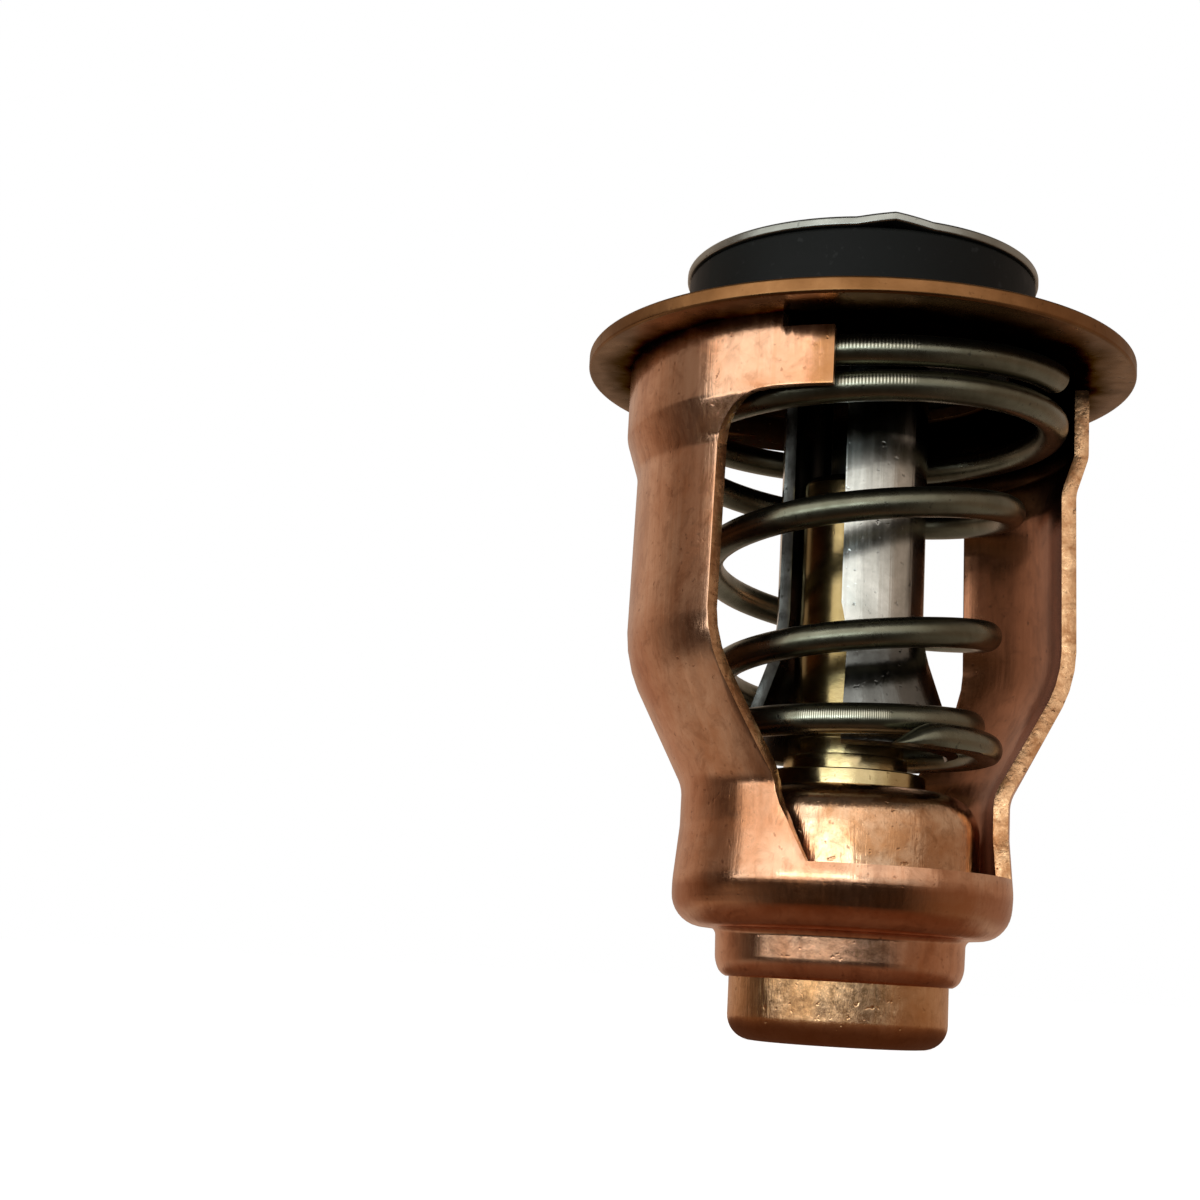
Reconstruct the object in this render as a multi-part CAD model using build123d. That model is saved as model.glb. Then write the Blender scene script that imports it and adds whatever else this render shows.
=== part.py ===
"""Wax-element engine thermostat: flange plate, frame, wax capsule, spring and lifting valve.

Millimetres. Z is the thermostat's axis, Z = 0 is the flat end of the wax capsule.
Azimuth 0 points to -Y, the front window, and +90 degrees to +X. The frame's arms stand at -90
and +90 degrees. The valve is drawn shut.
"""
from build123d import *
import math
import os

# Flange plate: clamps in the housing and carries the valve seat.
FLANGE_RADIUS = 17.5
FLANGE_SHEET = 1.0
FLANGE_UNDERSIDE = 41.9
FLANGE_TOP = FLANGE_UNDERSIDE + FLANGE_SHEET
FLANGE_WIDTH = 7.9
PORT_RADIUS = FLANGE_RADIUS - FLANGE_WIDTH
EDGE_ROUND = 0.2

# Wax capsule with what it holds.
CAPSULE_END_RADIUS = 6.7
CAPSULE_STEP_WIDTH = 1.65
CAPSULE_DOME_RADIUS = CAPSULE_END_RADIUS + CAPSULE_STEP_WIDTH
CAPSULE_STEP = 7.9
CAPSULE_DOME_HEIGHT = 7.5
CAPSULE_TOP = CAPSULE_STEP + CAPSULE_DOME_HEIGHT
CAPSULE_WALL = 0.8
CAPSULE_END_ROUND = 1.5
CAPSULE_STEP_ROUND = 1.2
CAPSULE_LEDGE_ROUND = 0.4
CAPSULE_ROLL = 2.4
DIAPHRAGM_THICKNESS = 1.3
FILL_GAP = 0.02
LIP_GAP = 0.05

# Frame: one pressing of copper sheet, measured on its outer skin. Its neck grips the capsule.
FRAME_SHEET = 0.9
FLANGE_LIP = 2.75
HEAD_RADIUS = FLANGE_RADIUS - FLANGE_LIP
HEAD_HEIGHT = 4.5
HEAD_BOTTOM = FLANGE_UNDERSIDE - HEAD_HEIGHT
HEAD_STEP = 0.8
HEAD_STEP_HEIGHT = 2.5
ARM_TOP_RADIUS = HEAD_RADIUS - HEAD_STEP
ARM_TOP = HEAD_BOTTOM - HEAD_STEP_HEIGHT
ARM_LEAN = 0.15
ARM_LOW_RADIUS = ARM_TOP_RADIUS + ARM_LEAN
CUP_ROOM = 0.9
CUP_RADIUS = CAPSULE_DOME_RADIUS + CUP_ROOM + FRAME_SHEET
CUP_BULGE = 0.3
CUP_BULGE_RADIUS = CUP_RADIUS + CUP_BULGE
STEP_ROOM = 0.35
CUP_BOTTOM = CAPSULE_STEP - STEP_ROOM - FRAME_SHEET
CUP_BULGE_HEIGHT = 2.75
CUP_BULGE_TOP = CUP_BOTTOM + CUP_BULGE_HEIGHT
CUP_DEPTH = 3.75
CUP_RIM = CUP_BOTTOM + CUP_DEPTH
WAIST_RISE = 3.4
WAIST_LENGTH = 2.4
CUP_WAIST = CUP_BULGE_TOP + WAIST_RISE
CONE_BOTTOM = CUP_WAIST + WAIST_LENGTH
CONE_HEIGHT = 7.7
SHOULDER_HEIGHT = CONE_BOTTOM + CONE_HEIGHT
NECK_RADIUS = CAPSULE_END_RADIUS + FRAME_SHEET
NECK_FLARE = 0.05
NECK_LENGTH = 2.9
NECK_END = CUP_BOTTOM - NECK_LENGTH
NECK_STRAIGHT = 0.95
NECK_CLOSING = 0.7
NECK_CLOSING_WIDTH = 0.3
NECK_CLOSING_HEIGHT = 0.2
NECK_CLOSING_ROUND = 0.8
ARM_HALF_WIDTH = 6.45
RIM_FLARE = 1.7
RIM_FLARE_HEIGHT = 4.0
RIM_FLARE_ROUND = 6.0
TAB_END_ANGLE = 57.7
TAB_NOTCH_ANGLE = 45.7
TAB_NOTCH_DEPTH = 0.95
TAB_NOTCH_TOP = FLANGE_UNDERSIDE - TAB_NOTCH_DEPTH
TAB_FILLET = 4.0
TAB_CORNER_ANGLE = 36.2
HEAD_BACK_ANGLE = 15.0
LUG_HALF_ANGLE = 18.0
HEAD_CREASE_ROUND = 1.6
ARM_TOP_ROUND = 2.0
SHOULDER_ROUND = 7.5
CONE_ROUND = 2.0
WAIST_ROUND = 4.0
BULGE_ROUND = 6.0
CUP_CORNER_ROUND = 2.0
NECK_ROUND = 0.45
NECK_TAPER_ROUND = 2.0

# Guide, piston and the stack under the piston.
PISTON_RADIUS = 2.0
PISTON_GAP = 0.05
GUIDE_BORE = PISTON_RADIUS + PISTON_GAP
GUIDE_WALL = 1.35
GUIDE_RADIUS = GUIDE_BORE + GUIDE_WALL
STEP_WIDTH = 0.2
GUIDE_STEP_RADIUS = GUIDE_RADIUS + STEP_WIDTH
BASE_WIDTH = 0.45
GUIDE_BASE_RADIUS = GUIDE_RADIUS + BASE_WIDTH
NECK_WIDTH = 0.75
GUIDE_NECK_RADIUS = GUIDE_RADIUS + NECK_WIDTH
COLLAR_WIDTH = 1.6
COLLAR_RADIUS = GUIDE_RADIUS + COLLAR_WIDTH
COLLAR_HEIGHT = 1.05
BASE_HEIGHT = 1.0
STEP_HEIGHT = 1.05
STEM_LENGTH = 16.7
GUIDE_TIP_ROUND = 0.6
GUIDE_SHOULDER_ROUND = 1.65
EDGE_BREAK = 0.1
PLUG_LENGTH = 3.0
BACKING_LENGTH = 0.6
PISTON_TIP_ROUND = 0.4

# Valve: rubber seat, disc, rivet and yoke. The rubber lies on the flange plate round the port.
SEAT_OVERLAP = 0.3
SEAT_INNER_RADIUS = PORT_RADIUS + SEAT_OVERLAP
SEAT_WIDTH = 1.3
RUBBER_RADIUS = SEAT_INNER_RADIUS + SEAT_WIDTH
RUBBER_THICKNESS = 5.46
RUBBER_RELIEF = 0.8
RUBBER_ROUND = 0.3
DISC_UNDERSIDE = FLANGE_TOP + RUBBER_THICKNESS
DISC_OVERHANG = 0.17
DISC_RADIUS = RUBBER_RADIUS + DISC_OVERHANG
DISC_SHEET = 0.6
CRIMP_AZIMUTH = -16.8
CRIMP_WIDTH = 5.0
CRIMP_HEIGHT = 0.4
CRIMP_LENGTH = 4.2
RIVET_RADIUS = 1.5
RIVET_HEAD_RADIUS = 3.0
RIVET_HEAD_HEIGHT = 0.9
RIVET_HEAD_ROUND = 0.8
RIVET_TAIL_RADIUS = 2.6
RIVET_TAIL_HEIGHT = 0.8
RIVET_TAIL_ROUND = 0.3
YOKE_SHEET = 0.7
YOKE_ROOM = 0.5
YOKE_RADIUS = GUIDE_RADIUS + YOKE_ROOM + YOKE_SHEET
YOKE_FLARE = 2.35
YOKE_FOOT_RADIUS = YOKE_RADIUS + YOKE_FLARE
FOOT_CLEARANCE = 2.5
YOKE_FOOT_END = CAPSULE_TOP + FOOT_CLEARANCE
YOKE_FLARE_HEIGHT = 6.9
YOKE_FLARE_START = YOKE_FOOT_END + YOKE_FLARE_HEIGHT
YOKE_END_ROUND = 1.0
YOKE_FLARE_ROUND = 8.0
YOKE_SLOT_AZIMUTH = -68.0
YOKE_SLOT_HALF = 2.6
YOKE_SLOT_FOOT_HALF = 4.7
SLOT_FLARE_RISE = 1.8
YOKE_BRIDGE = 4.76
YOKE_SLOT_TOP = DISC_UNDERSIDE - YOKE_BRIDGE
SLOT_OVERRUN = 1.9

# Return spring: closed coils nest on the yoke's feet and in the frame's head, free coils widen between.
WIRE_DIAMETER = 1.85
SPRING_TIP_AZIMUTH = -8.8
FOOT_COIL_NEST = 0.255
FOOT_COIL_RADIUS = YOKE_FOOT_RADIUS + WIRE_DIAMETER / 2 - FOOT_COIL_NEST
TIP_LIFT = 0.15
TIP_HEIGHT = YOKE_FOOT_END + TIP_LIFT
GROUND_DROP = 0.35
HEAD_COIL_ROOM = 0.475
HEAD_COIL_RADIUS = HEAD_RADIUS - FRAME_SHEET - WIRE_DIAMETER / 2 - HEAD_COIL_ROOM
END_DROP = 0.85
END_HEIGHT = FLANGE_UNDERSIDE - END_DROP
TIP_SPREAD = 1.48
CURL_SPREAD = 0.88
CURL_RISE = 0.35
NEST_SPREAD = 0.33
NEST_RISE = 0.55
SEAT_SPREAD = 0.04
SEAT_RISE = 1.0
FOOT_COIL_RISE = 1.7
HEAD_ENTRY_INSET = 0.3
HEAD_ENTRY_DROP = 2.95
HEAD_COIL_DROP = 2.05
HEAD_CLOSE_SPREAD = 0.25
HEAD_CLOSE_DROP = 0.95
END_SPREAD = 0.5
FREE_COILS = ((1.97, 0.161, 0.2316), (2.96, 0.404, 0.643), (3.30, 0.5585, 0.793))
POINTS_PER_TURN = 16


def radial(azimuth):
    """Outward direction at an azimuth."""
    angle = math.radians(azimuth)
    return (math.sin(angle), -math.cos(angle), 0)


def turned(points, radii):
    """Solid of revolution from (radius, height) corners, each corner with its own rounding."""
    outline = Polyline(*points, close=True)
    face = make_face(outline)
    for point, size in zip(points, radii):
        if size > 0:
            corner = face.vertices().sort_by_distance((point[0], point[1], 0))[0]
            face = fillet(corner, size)
    return revolve(Plane.XZ * face, Axis.Z)


def inner_line(points, radii, sheet):
    """Corners and roundings of a pressing's inner skin, one sheet to the right of the outer skin."""
    headings = []
    for start, end in zip(points, points[1:]):
        length = math.dist(start, end)
        headings.append(((end[0] - start[0]) / length, (end[1] - start[1]) / length))
    corners = [(points[0][0] + sheet * headings[0][1], points[0][1] - sheet * headings[0][0])]
    roundings = []
    for point, before, after, size in zip(points[1:], headings, headings[1:], radii):
        bend = before[0] * after[1] - before[1] * after[0]
        along = sheet * (1 - before[0] * after[0] - before[1] * after[1]) / bend
        corners.append((point[0] + sheet * before[1] + along * before[0],
                        point[1] - sheet * before[0] + along * before[1]))
        roundings.append(size + math.copysign(sheet, bend))
    corners.append((points[-1][0] + sheet * headings[-1][1], points[-1][1] - sheet * headings[-1][0]))
    return corners, roundings


def pressed(points, radii, sheet):
    """Thin-walled solid of revolution: an outer skin line with the sheet on its inner side."""
    corners, roundings = inner_line(points, radii, sheet)
    outer_skin = FilletPolyline(*points, radius=radii)
    inner_skin = FilletPolyline(*corners, radius=roundings)
    first_edge = Line(points[0], corners[0])
    last_edge = Line(points[-1], corners[-1])
    wall = make_face([outer_skin, inner_skin, first_edge, last_edge])
    return revolve(Plane.XZ * wall, Axis.Z)


def sector(start, end, inner, outer, bottom, top):
    """Ring segment between two azimuths."""
    direction = Vector(*radial(start))
    plane = Plane((0, 0, 0), x_dir=direction, z_dir=direction.cross(Vector(0, 0, 1)))
    middle = ((inner + outer) / 2, (bottom + top) / 2)
    face = plane * Pos(*middle) * Rectangle(outer - inner, top - bottom)
    return revolve(face, Axis.Z, revolution_arc=end - start)


def facing(azimuth):
    """Upright plane through the axis, square to the outward direction at an azimuth."""
    angle = math.radians(azimuth)
    return Plane((0, 0, 0), x_dir=(math.cos(angle), math.sin(angle), 0), z_dir=radial(azimuth))


def half_turn(shape):
    """Copy on the opposite side of the axis."""
    return Rot(0, 0, 180) * shape


# Flange plate with two slots for the frame's lugs.
flange_plate = turned(
    [(PORT_RADIUS, FLANGE_UNDERSIDE), (FLANGE_RADIUS, FLANGE_UNDERSIDE),
     (FLANGE_RADIUS, FLANGE_TOP), (PORT_RADIUS, FLANGE_TOP)],
    [EDGE_ROUND] * 4,
)
lug_slot = sector(-90 - LUG_HALF_ANGLE, -90 + LUG_HALF_ANGLE,
                  HEAD_RADIUS - FRAME_SHEET, HEAD_RADIUS, FLANGE_UNDERSIDE, FLANGE_TOP)
flange_plate = flange_plate - lug_slot - half_turn(lug_slot)

# Frame: the whole pressing is turned first, then only cup, arms, heads and lugs are kept.
frame_skin = pressed(
    [(HEAD_RADIUS, FLANGE_TOP), (HEAD_RADIUS, HEAD_BOTTOM), (ARM_TOP_RADIUS, ARM_TOP),
     (ARM_LOW_RADIUS, SHOULDER_HEIGHT), (CUP_RADIUS, CONE_BOTTOM), (CUP_RADIUS, CUP_WAIST),
     (CUP_BULGE_RADIUS, CUP_BULGE_TOP), (CUP_BULGE_RADIUS, CUP_BOTTOM),
     (NECK_RADIUS + NECK_FLARE, CUP_BOTTOM), (NECK_RADIUS, NECK_END + NECK_STRAIGHT),
     (NECK_RADIUS, NECK_END)],
    [HEAD_CREASE_ROUND, ARM_TOP_ROUND, SHOULDER_ROUND, CONE_ROUND, WAIST_ROUND, BULGE_ROUND,
     CUP_CORNER_ROUND, NECK_ROUND, NECK_TAPER_ROUND],
    FRAME_SHEET,
)
closing_top = NECK_END + NECK_STRAIGHT + EDGE_ROUND
neck_closing = turned(
    [(NECK_RADIUS - NECK_CLOSING, NECK_END), (NECK_RADIUS - NECK_CLOSING, NECK_END - FRAME_SHEET),
     (NECK_RADIUS + FRAME_SHEET, NECK_END - FRAME_SHEET), (NECK_RADIUS + FRAME_SHEET, closing_top),
     (NECK_RADIUS, closing_top), (NECK_RADIUS - NECK_CLOSING_WIDTH, NECK_END + NECK_CLOSING_HEIGHT)],
    [0, 0, 0, 0, 0, NECK_CLOSING_ROUND],
)
frame_skin = frame_skin - neck_closing

rim_reach = ARM_HALF_WIDTH + RIM_FLARE
flare_top = CUP_RIM + RIM_FLARE_HEIGHT
arm_outline = FilletPolyline(
    (-ARM_HALF_WIDTH, FLANGE_UNDERSIDE), (ARM_HALF_WIDTH, FLANGE_UNDERSIDE), (ARM_HALF_WIDTH, flare_top),
    (rim_reach, CUP_RIM), (rim_reach, CUP_BOTTOM), (-ARM_HALF_WIDTH, CUP_BOTTOM),
    radius=[0, 0, RIM_FLARE_ROUND, 0, 0, 0], close=True,
)
arm_keep = extrude(facing(-90) * Pos(0, 0, CUP_RADIUS / 2) * make_face(arm_outline), amount=FLANGE_RADIUS)
tab_end = -90 + TAB_END_ANGLE
tab_notch = -90 + TAB_NOTCH_ANGLE
head_inner = HEAD_RADIUS - 2 * FRAME_SHEET
head_outer = HEAD_RADIUS + FRAME_SHEET
head_keep = sector(-90 - HEAD_BACK_ANGLE, tab_notch, head_inner, head_outer, HEAD_BOTTOM, FLANGE_UNDERSIDE)
tab_keep = sector(tab_notch, tab_end, head_inner, head_outer, HEAD_BOTTOM, TAB_NOTCH_TOP)
corner_plane = facing(-90 + TAB_CORNER_ANGLE)
head_middle = HEAD_RADIUS - FRAME_SHEET / 2
arm_edge_angle = math.asin(ARM_HALF_WIDTH / head_middle)
arm_edge = head_middle * math.sin(arm_edge_angle - math.radians(TAB_CORNER_ANGLE))
corner_right = arm_edge + TAB_FILLET
corner_left = corner_right - TAB_FILLET - FRAME_SHEET
corner_start = ARM_TOP_RADIUS / 2
corner_top = HEAD_BOTTOM + EDGE_ROUND
corner_low = HEAD_BOTTOM - TAB_FILLET
corner_middle = ((corner_left + corner_right) / 2, (corner_low + corner_top) / 2, corner_start)
corner_block = corner_plane * Pos(*corner_middle) * Rectangle(
    corner_right - corner_left, corner_top - corner_low)
corner_round = corner_plane * Pos(corner_right, corner_low, corner_start) * Circle(TAB_FILLET)
corner_keep = extrude(corner_block - corner_round, amount=HEAD_RADIUS)
lug_keep = sector(-90 - LUG_HALF_ANGLE, -90 + LUG_HALF_ANGLE, head_inner, head_outer,
                  HEAD_BOTTOM, FLANGE_TOP)
cup_keep = Pos(0, 0, CUP_RIM / 2) * Cylinder(FLANGE_RADIUS, CUP_RIM)
one_side = arm_keep + head_keep + tab_keep + corner_keep + lug_keep
frame = frame_skin & (cup_keep + one_side + half_turn(one_side))

# Wax capsule: stepped copper shell, rolled over the guide's flange at the top.
step_inside = CAPSULE_STEP + CAPSULE_WALL
dome_inside = CAPSULE_DOME_RADIUS - CAPSULE_WALL
end_inside = CAPSULE_END_RADIUS - CAPSULE_WALL
top_inside = CAPSULE_TOP - CAPSULE_WALL
capsule_shell = turned(
    [(0, 0), (CAPSULE_END_RADIUS, 0), (CAPSULE_END_RADIUS, CAPSULE_STEP),
     (CAPSULE_DOME_RADIUS, CAPSULE_STEP), (CAPSULE_DOME_RADIUS, CAPSULE_TOP),
     (GUIDE_NECK_RADIUS + LIP_GAP, CAPSULE_TOP), (GUIDE_NECK_RADIUS + LIP_GAP, top_inside),
     (dome_inside, top_inside), (dome_inside, step_inside), (end_inside, step_inside),
     (end_inside, CAPSULE_WALL), (0, CAPSULE_WALL)],
    [0, CAPSULE_END_ROUND, CAPSULE_STEP_ROUND, CAPSULE_LEDGE_ROUND, CAPSULE_ROLL, 0, 0,
     CAPSULE_ROLL - CAPSULE_WALL, 0, 0, CAPSULE_END_ROUND - CAPSULE_WALL, 0],
)
wax_charge = turned(
    [(0, CAPSULE_WALL + FILL_GAP), (end_inside - FILL_GAP, CAPSULE_WALL + FILL_GAP),
     (end_inside - FILL_GAP, step_inside), (0, step_inside)],
    [0, CAPSULE_END_ROUND - CAPSULE_WALL, 0, 0],
)
diaphragm_top = step_inside + DIAPHRAGM_THICKNESS
diaphragm = turned(
    [(0, step_inside), (dome_inside - FILL_GAP, step_inside),
     (dome_inside - FILL_GAP, diaphragm_top), (0, diaphragm_top)],
    [0, 0, 0, 0],
)

# Guide: a flange held in the capsule, a collar on top of it and a long bored stem.
collar_top = CAPSULE_TOP + COLLAR_HEIGHT
base_top = collar_top + BASE_HEIGHT
step_top = base_top + STEP_HEIGHT
guide_top = step_top + STEM_LENGTH
flange_limit = dome_inside - FILL_GAP
guide = turned(
    [(GUIDE_BORE, diaphragm_top), (flange_limit, diaphragm_top), (flange_limit, top_inside - FILL_GAP),
     (GUIDE_NECK_RADIUS, top_inside - FILL_GAP), (GUIDE_NECK_RADIUS, CAPSULE_TOP),
     (COLLAR_RADIUS, CAPSULE_TOP), (COLLAR_RADIUS, collar_top), (GUIDE_BASE_RADIUS, collar_top),
     (GUIDE_BASE_RADIUS, base_top), (GUIDE_STEP_RADIUS, base_top), (GUIDE_STEP_RADIUS, step_top),
     (GUIDE_RADIUS, step_top), (GUIDE_RADIUS, guide_top), (GUIDE_BORE, guide_top)],
    [0, 0, GUIDE_SHOULDER_ROUND, 0, 0, 0, EDGE_BREAK, 0, EDGE_BREAK, 0, EDGE_BREAK, 0,
     GUIDE_TIP_ROUND, EDGE_ROUND],
)
plug_top = diaphragm_top + PLUG_LENGTH
backing_top = plug_top + BACKING_LENGTH
yoke_end_inside = DISC_UNDERSIDE - YOKE_SHEET
piston_top = yoke_end_inside - RIVET_TAIL_HEIGHT
plug = Pos(0, 0, diaphragm_top) * Cylinder(
    PISTON_RADIUS, PLUG_LENGTH, align=(Align.CENTER, Align.CENTER, Align.MIN))
backing_disc = Pos(0, 0, plug_top) * Cylinder(
    PISTON_RADIUS, BACKING_LENGTH, align=(Align.CENTER, Align.CENTER, Align.MIN))
piston = turned(
    [(0, backing_top), (PISTON_RADIUS, backing_top), (PISTON_RADIUS, piston_top), (0, piston_top)],
    [0, 0, PISTON_TIP_ROUND, 0],
)

# Yoke: drawn cup, closed under the disc, slotted into two legs with flared feet for the spring.
yoke = pressed(
    [(0, DISC_UNDERSIDE), (YOKE_RADIUS, DISC_UNDERSIDE), (YOKE_RADIUS, YOKE_FLARE_START),
     (YOKE_FOOT_RADIUS, YOKE_FOOT_END)],
    [YOKE_END_ROUND, YOKE_FLARE_ROUND],
    YOKE_SHEET,
)
slot_foot = YOKE_FOOT_END - SLOT_OVERRUN
slot_flare = YOKE_FLARE_START + SLOT_FLARE_RISE
slot_outline = Polyline(
    (-YOKE_SLOT_FOOT_HALF, slot_foot), (YOKE_SLOT_FOOT_HALF, slot_foot), (YOKE_SLOT_HALF, slot_flare),
    (YOKE_SLOT_HALF, YOKE_SLOT_TOP), (-YOKE_SLOT_HALF, YOKE_SLOT_TOP), (-YOKE_SLOT_HALF, slot_flare),
    close=True,
)
yoke = yoke - extrude(facing(YOKE_SLOT_AZIMUTH) * make_face(slot_outline), amount=HEAD_RADIUS, both=True)
rivet_hole = Pos(0, 0, DISC_UNDERSIDE) * Cylinder(RIVET_RADIUS, 4 * (DISC_SHEET + YOKE_SHEET))
yoke = yoke - rivet_hole

# Valve disc: the crimp is a ridge on its top and the same ridge cut out of its underside.
disc_top = DISC_UNDERSIDE + DISC_SHEET
ridge_shape = Polyline(
    (-CRIMP_WIDTH / 2, 0), (CRIMP_WIDTH / 2, 0), (0, CRIMP_HEIGHT), close=True)
ridge_start = DISC_RADIUS - CRIMP_LENGTH
ridge_plane = facing(CRIMP_AZIMUTH)
ridge_inner = ridge_plane * Pos(0, 0, ridge_start) * scale(make_face(ridge_shape), 0.05)
ridge_outer = ridge_plane * Pos(0, 0, DISC_RADIUS + DISC_SHEET) * make_face(ridge_shape)
ridge = loft([ridge_inner.face(), ridge_outer.face()])
disc_blank = Pos(0, 0, DISC_UNDERSIDE + DISC_SHEET / 2) * Cylinder(DISC_RADIUS, DISC_SHEET)
disc_reach = Pos(0, 0, disc_top) * Cylinder(DISC_RADIUS, 4 * CRIMP_HEIGHT)
valve_disc = disc_blank + ((Pos(0, 0, disc_top) * ridge) & disc_reach)
valve_disc = valve_disc - Pos(0, 0, DISC_UNDERSIDE) * ridge
valve_disc = valve_disc - rivet_hole

relief_height = FLANGE_TOP + RUBBER_RELIEF
valve_rubber = turned(
    [(YOKE_RADIUS, relief_height), (SEAT_INNER_RADIUS - RUBBER_RELIEF, relief_height),
     (SEAT_INNER_RADIUS, FLANGE_TOP), (RUBBER_RADIUS, FLANGE_TOP), (RUBBER_RADIUS, DISC_UNDERSIDE),
     (YOKE_RADIUS, DISC_UNDERSIDE)],
    [0, 0, 0, RUBBER_ROUND, RUBBER_ROUND, 0],
)
rivet = turned(
    [(0, piston_top), (RIVET_TAIL_RADIUS, piston_top), (RIVET_TAIL_RADIUS, yoke_end_inside),
     (RIVET_RADIUS, yoke_end_inside), (RIVET_RADIUS, disc_top), (RIVET_HEAD_RADIUS, disc_top),
     (RIVET_HEAD_RADIUS, disc_top + RIVET_HEAD_HEIGHT), (0, disc_top + RIVET_HEAD_HEIGHT)],
    [0, RIVET_TAIL_ROUND, 0, 0, 0, 0, RIVET_HEAD_ROUND, 0],
)


def smooth(stations, column, turn):
    """Height or radius of the spring's wire at a turn, eased between stations without overshoot."""
    turns = [row[0] for row in stations]
    values = [row[column] for row in stations]
    count = len(stations)
    steps = [turns[i + 1] - turns[i] for i in range(count - 1)]
    slopes = [(values[i + 1] - values[i]) / steps[i] for i in range(count - 1)]
    tangents = [slopes[0]]
    for i in range(1, count - 1):
        if slopes[i - 1] * slopes[i] <= 0:
            tangents.append(0)
        else:
            tangents.append(2 * slopes[i - 1] * slopes[i] / (slopes[i - 1] + slopes[i]))
    tangents.append(slopes[-1])
    i = 0
    while i < count - 2 and turn > turns[i + 1]:
        i += 1
    t = (turn - turns[i]) / steps[i]
    rise = values[i + 1] - values[i]
    start_pull = steps[i] * tangents[i]
    end_pull = steps[i] * tangents[i + 1]
    return (values[i] + start_pull * t + (3 * rise - 2 * start_pull - end_pull) * t ** 2
            + (start_pull + end_pull - 2 * rise) * t ** 3)


# Spring: round wire along a conical coil, both ends ground flat.
# A station is turns from the lower tip, coil radius and height of the wire's centre.
foot_coil = [
    (0.00, FOOT_COIL_RADIUS + TIP_SPREAD, TIP_HEIGHT),
    (0.30, FOOT_COIL_RADIUS + CURL_SPREAD, TIP_HEIGHT + CURL_RISE),
    (0.60, FOOT_COIL_RADIUS + NEST_SPREAD, TIP_HEIGHT + NEST_RISE),
    (0.95, FOOT_COIL_RADIUS + SEAT_SPREAD, TIP_HEIGHT + SEAT_RISE),
    (1.18, FOOT_COIL_RADIUS, TIP_HEIGHT + FOOT_COIL_RISE),
]
head_coil = [
    (3.96, HEAD_COIL_RADIUS - HEAD_ENTRY_INSET, END_HEIGHT - HEAD_ENTRY_DROP),
    (4.20, HEAD_COIL_RADIUS, END_HEIGHT - HEAD_COIL_DROP),
    (4.96, HEAD_COIL_RADIUS + HEAD_CLOSE_SPREAD, END_HEIGHT - HEAD_CLOSE_DROP),
    (5.14, HEAD_COIL_RADIUS + END_SPREAD, END_HEIGHT),
]
widening = head_coil[0][1] - foot_coil[-1][1]
free_height = head_coil[0][2] - foot_coil[-1][2]
free_coils = []
for turn, width_share, height_share in FREE_COILS:
    coil_radius = foot_coil[-1][1] + width_share * widening
    free_coils.append((turn, coil_radius, foot_coil[-1][2] + height_share * free_height))
stations = foot_coil + free_coils + head_coil
last_turn = stations[-1][0]
point_count = round(last_turn * POINTS_PER_TURN)
wire_points = []
for step in range(point_count + 1):
    turn = last_turn * step / point_count
    direction = Vector(*radial(SPRING_TIP_AZIMUTH + 360 * turn))
    height = smooth(stations, 2, turn)
    wire_points.append(direction * smooth(stations, 1, turn) + Vector(0, 0, height))
wire_path = Spline(*wire_points)
wire_section = Plane(wire_path @ 0, z_dir=wire_path % 0) * Circle(WIRE_DIAMETER / 2)
spring = sweep(wire_section, path=wire_path)
ground_foot = YOKE_FOOT_END - GROUND_DROP
grinding = Cylinder(FLANGE_RADIUS, 2 * WIRE_DIAMETER)
spring = spring - Pos(0, 0, FLANGE_UNDERSIDE + WIRE_DIAMETER) * grinding
spring = spring - Pos(0, 0, ground_foot - WIRE_DIAMETER) * grinding

nodes = {
    "flange_plate": flange_plate,
    "frame": frame,
    "capsule_shell": capsule_shell,
    "wax_charge": wax_charge,
    "diaphragm": diaphragm,
    "guide": guide,
    "plug": plug,
    "backing_disc": backing_disc,
    "piston": piston,
    "yoke": yoke,
    "valve_disc": valve_disc,
    "valve_rubber": valve_rubber,
    "rivet": rivet,
    "spring": spring,
}
os.makedirs("parts", exist_ok=True)
for name, shape in nodes.items():
    export_step(shape, f"parts/{name}.step")
    print(name, "solids", len(shape.solids()), "mm3", round(shape.volume, 1))
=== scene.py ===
import math

import bmesh
import bpy
from mathutils import Matrix, Vector


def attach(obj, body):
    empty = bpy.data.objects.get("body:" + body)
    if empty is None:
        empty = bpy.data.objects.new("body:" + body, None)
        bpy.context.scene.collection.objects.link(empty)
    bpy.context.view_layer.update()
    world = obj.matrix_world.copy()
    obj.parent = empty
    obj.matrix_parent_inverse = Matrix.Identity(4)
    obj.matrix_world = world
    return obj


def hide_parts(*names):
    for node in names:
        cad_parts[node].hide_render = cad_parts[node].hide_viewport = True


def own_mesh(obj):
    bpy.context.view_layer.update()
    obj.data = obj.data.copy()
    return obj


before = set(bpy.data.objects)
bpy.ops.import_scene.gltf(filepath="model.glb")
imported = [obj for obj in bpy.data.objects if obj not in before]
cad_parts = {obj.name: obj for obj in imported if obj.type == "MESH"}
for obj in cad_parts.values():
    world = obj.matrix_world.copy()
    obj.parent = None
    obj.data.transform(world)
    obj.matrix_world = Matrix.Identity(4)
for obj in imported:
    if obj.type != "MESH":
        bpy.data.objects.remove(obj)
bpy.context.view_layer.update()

# Frame: one pressing of copper sheet. Its cup and neck hold the wax capsule, two arms rise from the
# cup's rim, and each arm ends in an L-shaped head under the flange plate, with a lug staked through it.
# Sizes are in millimetres on the outer skin, and azimuth 0 is the front window.
MM = 0.001
FRAME_SHEET = 0.9
FRAME_EDGE_ROUND = 0.18
FLANGE_UNDERSIDE = 41.9
FLANGE_TOP = 42.9
HEAD_RADIUS = 14.75
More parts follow.
